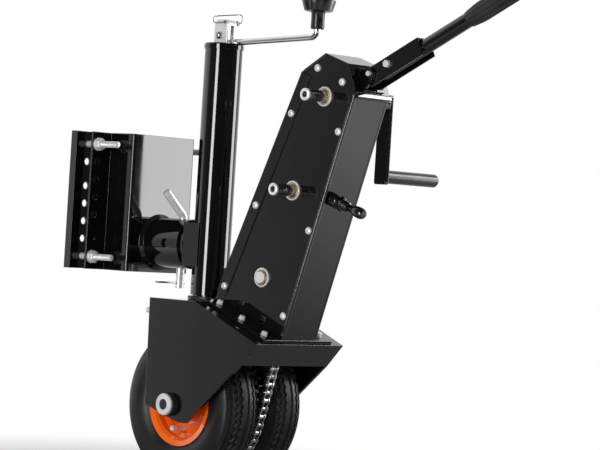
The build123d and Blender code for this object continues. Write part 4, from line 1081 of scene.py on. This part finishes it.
def make_world():
    """White for the camera, the studio for gloss, and an even half light for everything else."""
    world = bpy.data.worlds.new("studio")
    world.use_nodes = True
    bpy.context.scene.world = world
    tree = world.node_tree
    nodes = tree.nodes
    background = nodes["Background"]
    background.inputs["Color"].default_value = (1, 1, 1, 1)
    path = nodes.new("ShaderNodeLightPath")
    glossy = nodes.new("ShaderNodeMath")
    glossy.operation = "MAXIMUM"
    tree.links.new(path.outputs["Is Glossy Ray"], glossy.inputs[0])
    tree.links.new(path.outputs["Is Transmission Ray"], glossy.inputs[1])
    fill = nodes.new("ShaderNodeMix")
    fill.inputs["A"].default_value = HALF_LIGHT
    tree.links.new(glossy.outputs["Value"], fill.inputs["Factor"])
    tree.links.new(studio_levels(tree).outputs["Color"], fill.inputs["B"])
    seen = nodes.new("ShaderNodeMix")
    seen.inputs["B"].default_value = 1.0
    tree.links.new(path.outputs["Is Camera Ray"], seen.inputs["Factor"])
    tree.links.new(fill.outputs["Result"], seen.inputs["A"])
    tree.links.new(seen.outputs["Result"], background.inputs["Strength"])


def floor_paint():
    """Pale near the object and white far off; in gloss it shows a painted reflection, an emitted glow that
    is dim near the object as painted shade and brightens with distance.
    """
    floor = Nodes("floor")
    floor.set(Base_Color=(0.82, 0.82, 0.82, 1), Roughness=0.9, Specular_IOR_Level=0.1)
    coordinates = floor.add("TexCoord")
    distance = floor.add("VectorMath")
    distance.operation = "LENGTH"
    floor.join(coordinates, "Object", distance, 0)
    fade = floor.add("MapRange", From_Min=FLOOR_FADE[0], From_Max=FLOOR_FADE[1])
    fade.interpolation_type = "SMOOTHSTEP"
    floor.join(distance, "Value", fade, "Value")
    white = floor.add("Emission", Strength=1.0)
    path = floor.add("LightPath")
    share = floor.add("Math")
    share.operation = "MULTIPLY"
    floor.join(path, "Is Camera Ray", share, 0)
    floor.join(fade, "Result", share, 1)
    blend = floor.add("MixShader")
    floor.join(share, "Value", blend, "Fac")
    floor.join(floor.shader, "BSDF", blend, 1)
    floor.join(white, "Emission", blend, 2)
    # Painted reflection: for gloss rays the floor emits a glow, dim near the object as painted shade and
    # brighter with distance
    painted_reflection_ramp = floor.add("MapRange", From_Min=PAINTED_REFLECTION_FADE[0], From_Max=PAINTED_REFLECTION_FADE[1],
                         To_Min=PAINTED_REFLECTION_LEVELS[0], To_Max=PAINTED_REFLECTION_LEVELS[1])
    floor.join(distance, "Value", painted_reflection_ramp, "Value")
    painted_reflection_glow = floor.add("Emission")
    floor.join(painted_reflection_ramp, "Result", painted_reflection_glow, "Strength")
    shown = floor.add("MixShader")
    floor.join(path, "Is Glossy Ray", shown, "Fac")
    floor.join(blend, "Shader", shown, 1)
    floor.join(painted_reflection_glow, "Emission", shown, 2)
    floor.join(shown, "Shader", floor.tree.nodes["Material Output"], "Surface")
    return floor.material


def make_floor():
    """A floor that keeps the shadow near the object and fades to the white backdrop."""
    corners = [(FLOOR_NEAR, FLOOR_NEAR, 0), (FLOOR_FAR, FLOOR_NEAR, 0), (FLOOR_FAR, FLOOR_FAR, 0),
               (FLOOR_NEAR, FLOOR_FAR, 0)]
    mesh = bpy.data.meshes.new("floor")
    mesh.from_pydata(corners, [], [(0, 1, 2, 3)])
    mesh.materials.append(floor_paint())
    ground = bpy.data.objects.new("floor", mesh)
    ground.location = to_frame(*FLOOR_CENTRE)
    bpy.context.scene.collection.objects.link(ground)


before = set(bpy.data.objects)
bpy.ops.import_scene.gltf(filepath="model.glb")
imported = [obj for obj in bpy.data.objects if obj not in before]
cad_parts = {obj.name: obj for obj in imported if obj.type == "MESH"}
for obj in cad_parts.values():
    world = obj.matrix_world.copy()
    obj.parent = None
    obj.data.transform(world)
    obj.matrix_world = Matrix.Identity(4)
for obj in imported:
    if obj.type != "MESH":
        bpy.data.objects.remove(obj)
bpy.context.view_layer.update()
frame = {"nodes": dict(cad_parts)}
MATERIALS = make_materials()
dress_nodes(frame["nodes"])
make_tyres()
make_chain()
make_clamp_bolts()
make_cover_screws()
make_frame_bolts()
make_bushings()
make_shaft_ends()
make_cover_trim()
make_knob()
make_grip()
make_handle_bolts()
make_plunger()
make_crank_pins()
make_clip()
make_saddle()
make_camera()
make_lamps()
make_world()
make_floor()
bpy.context.scene.view_settings.view_transform = "Standard"
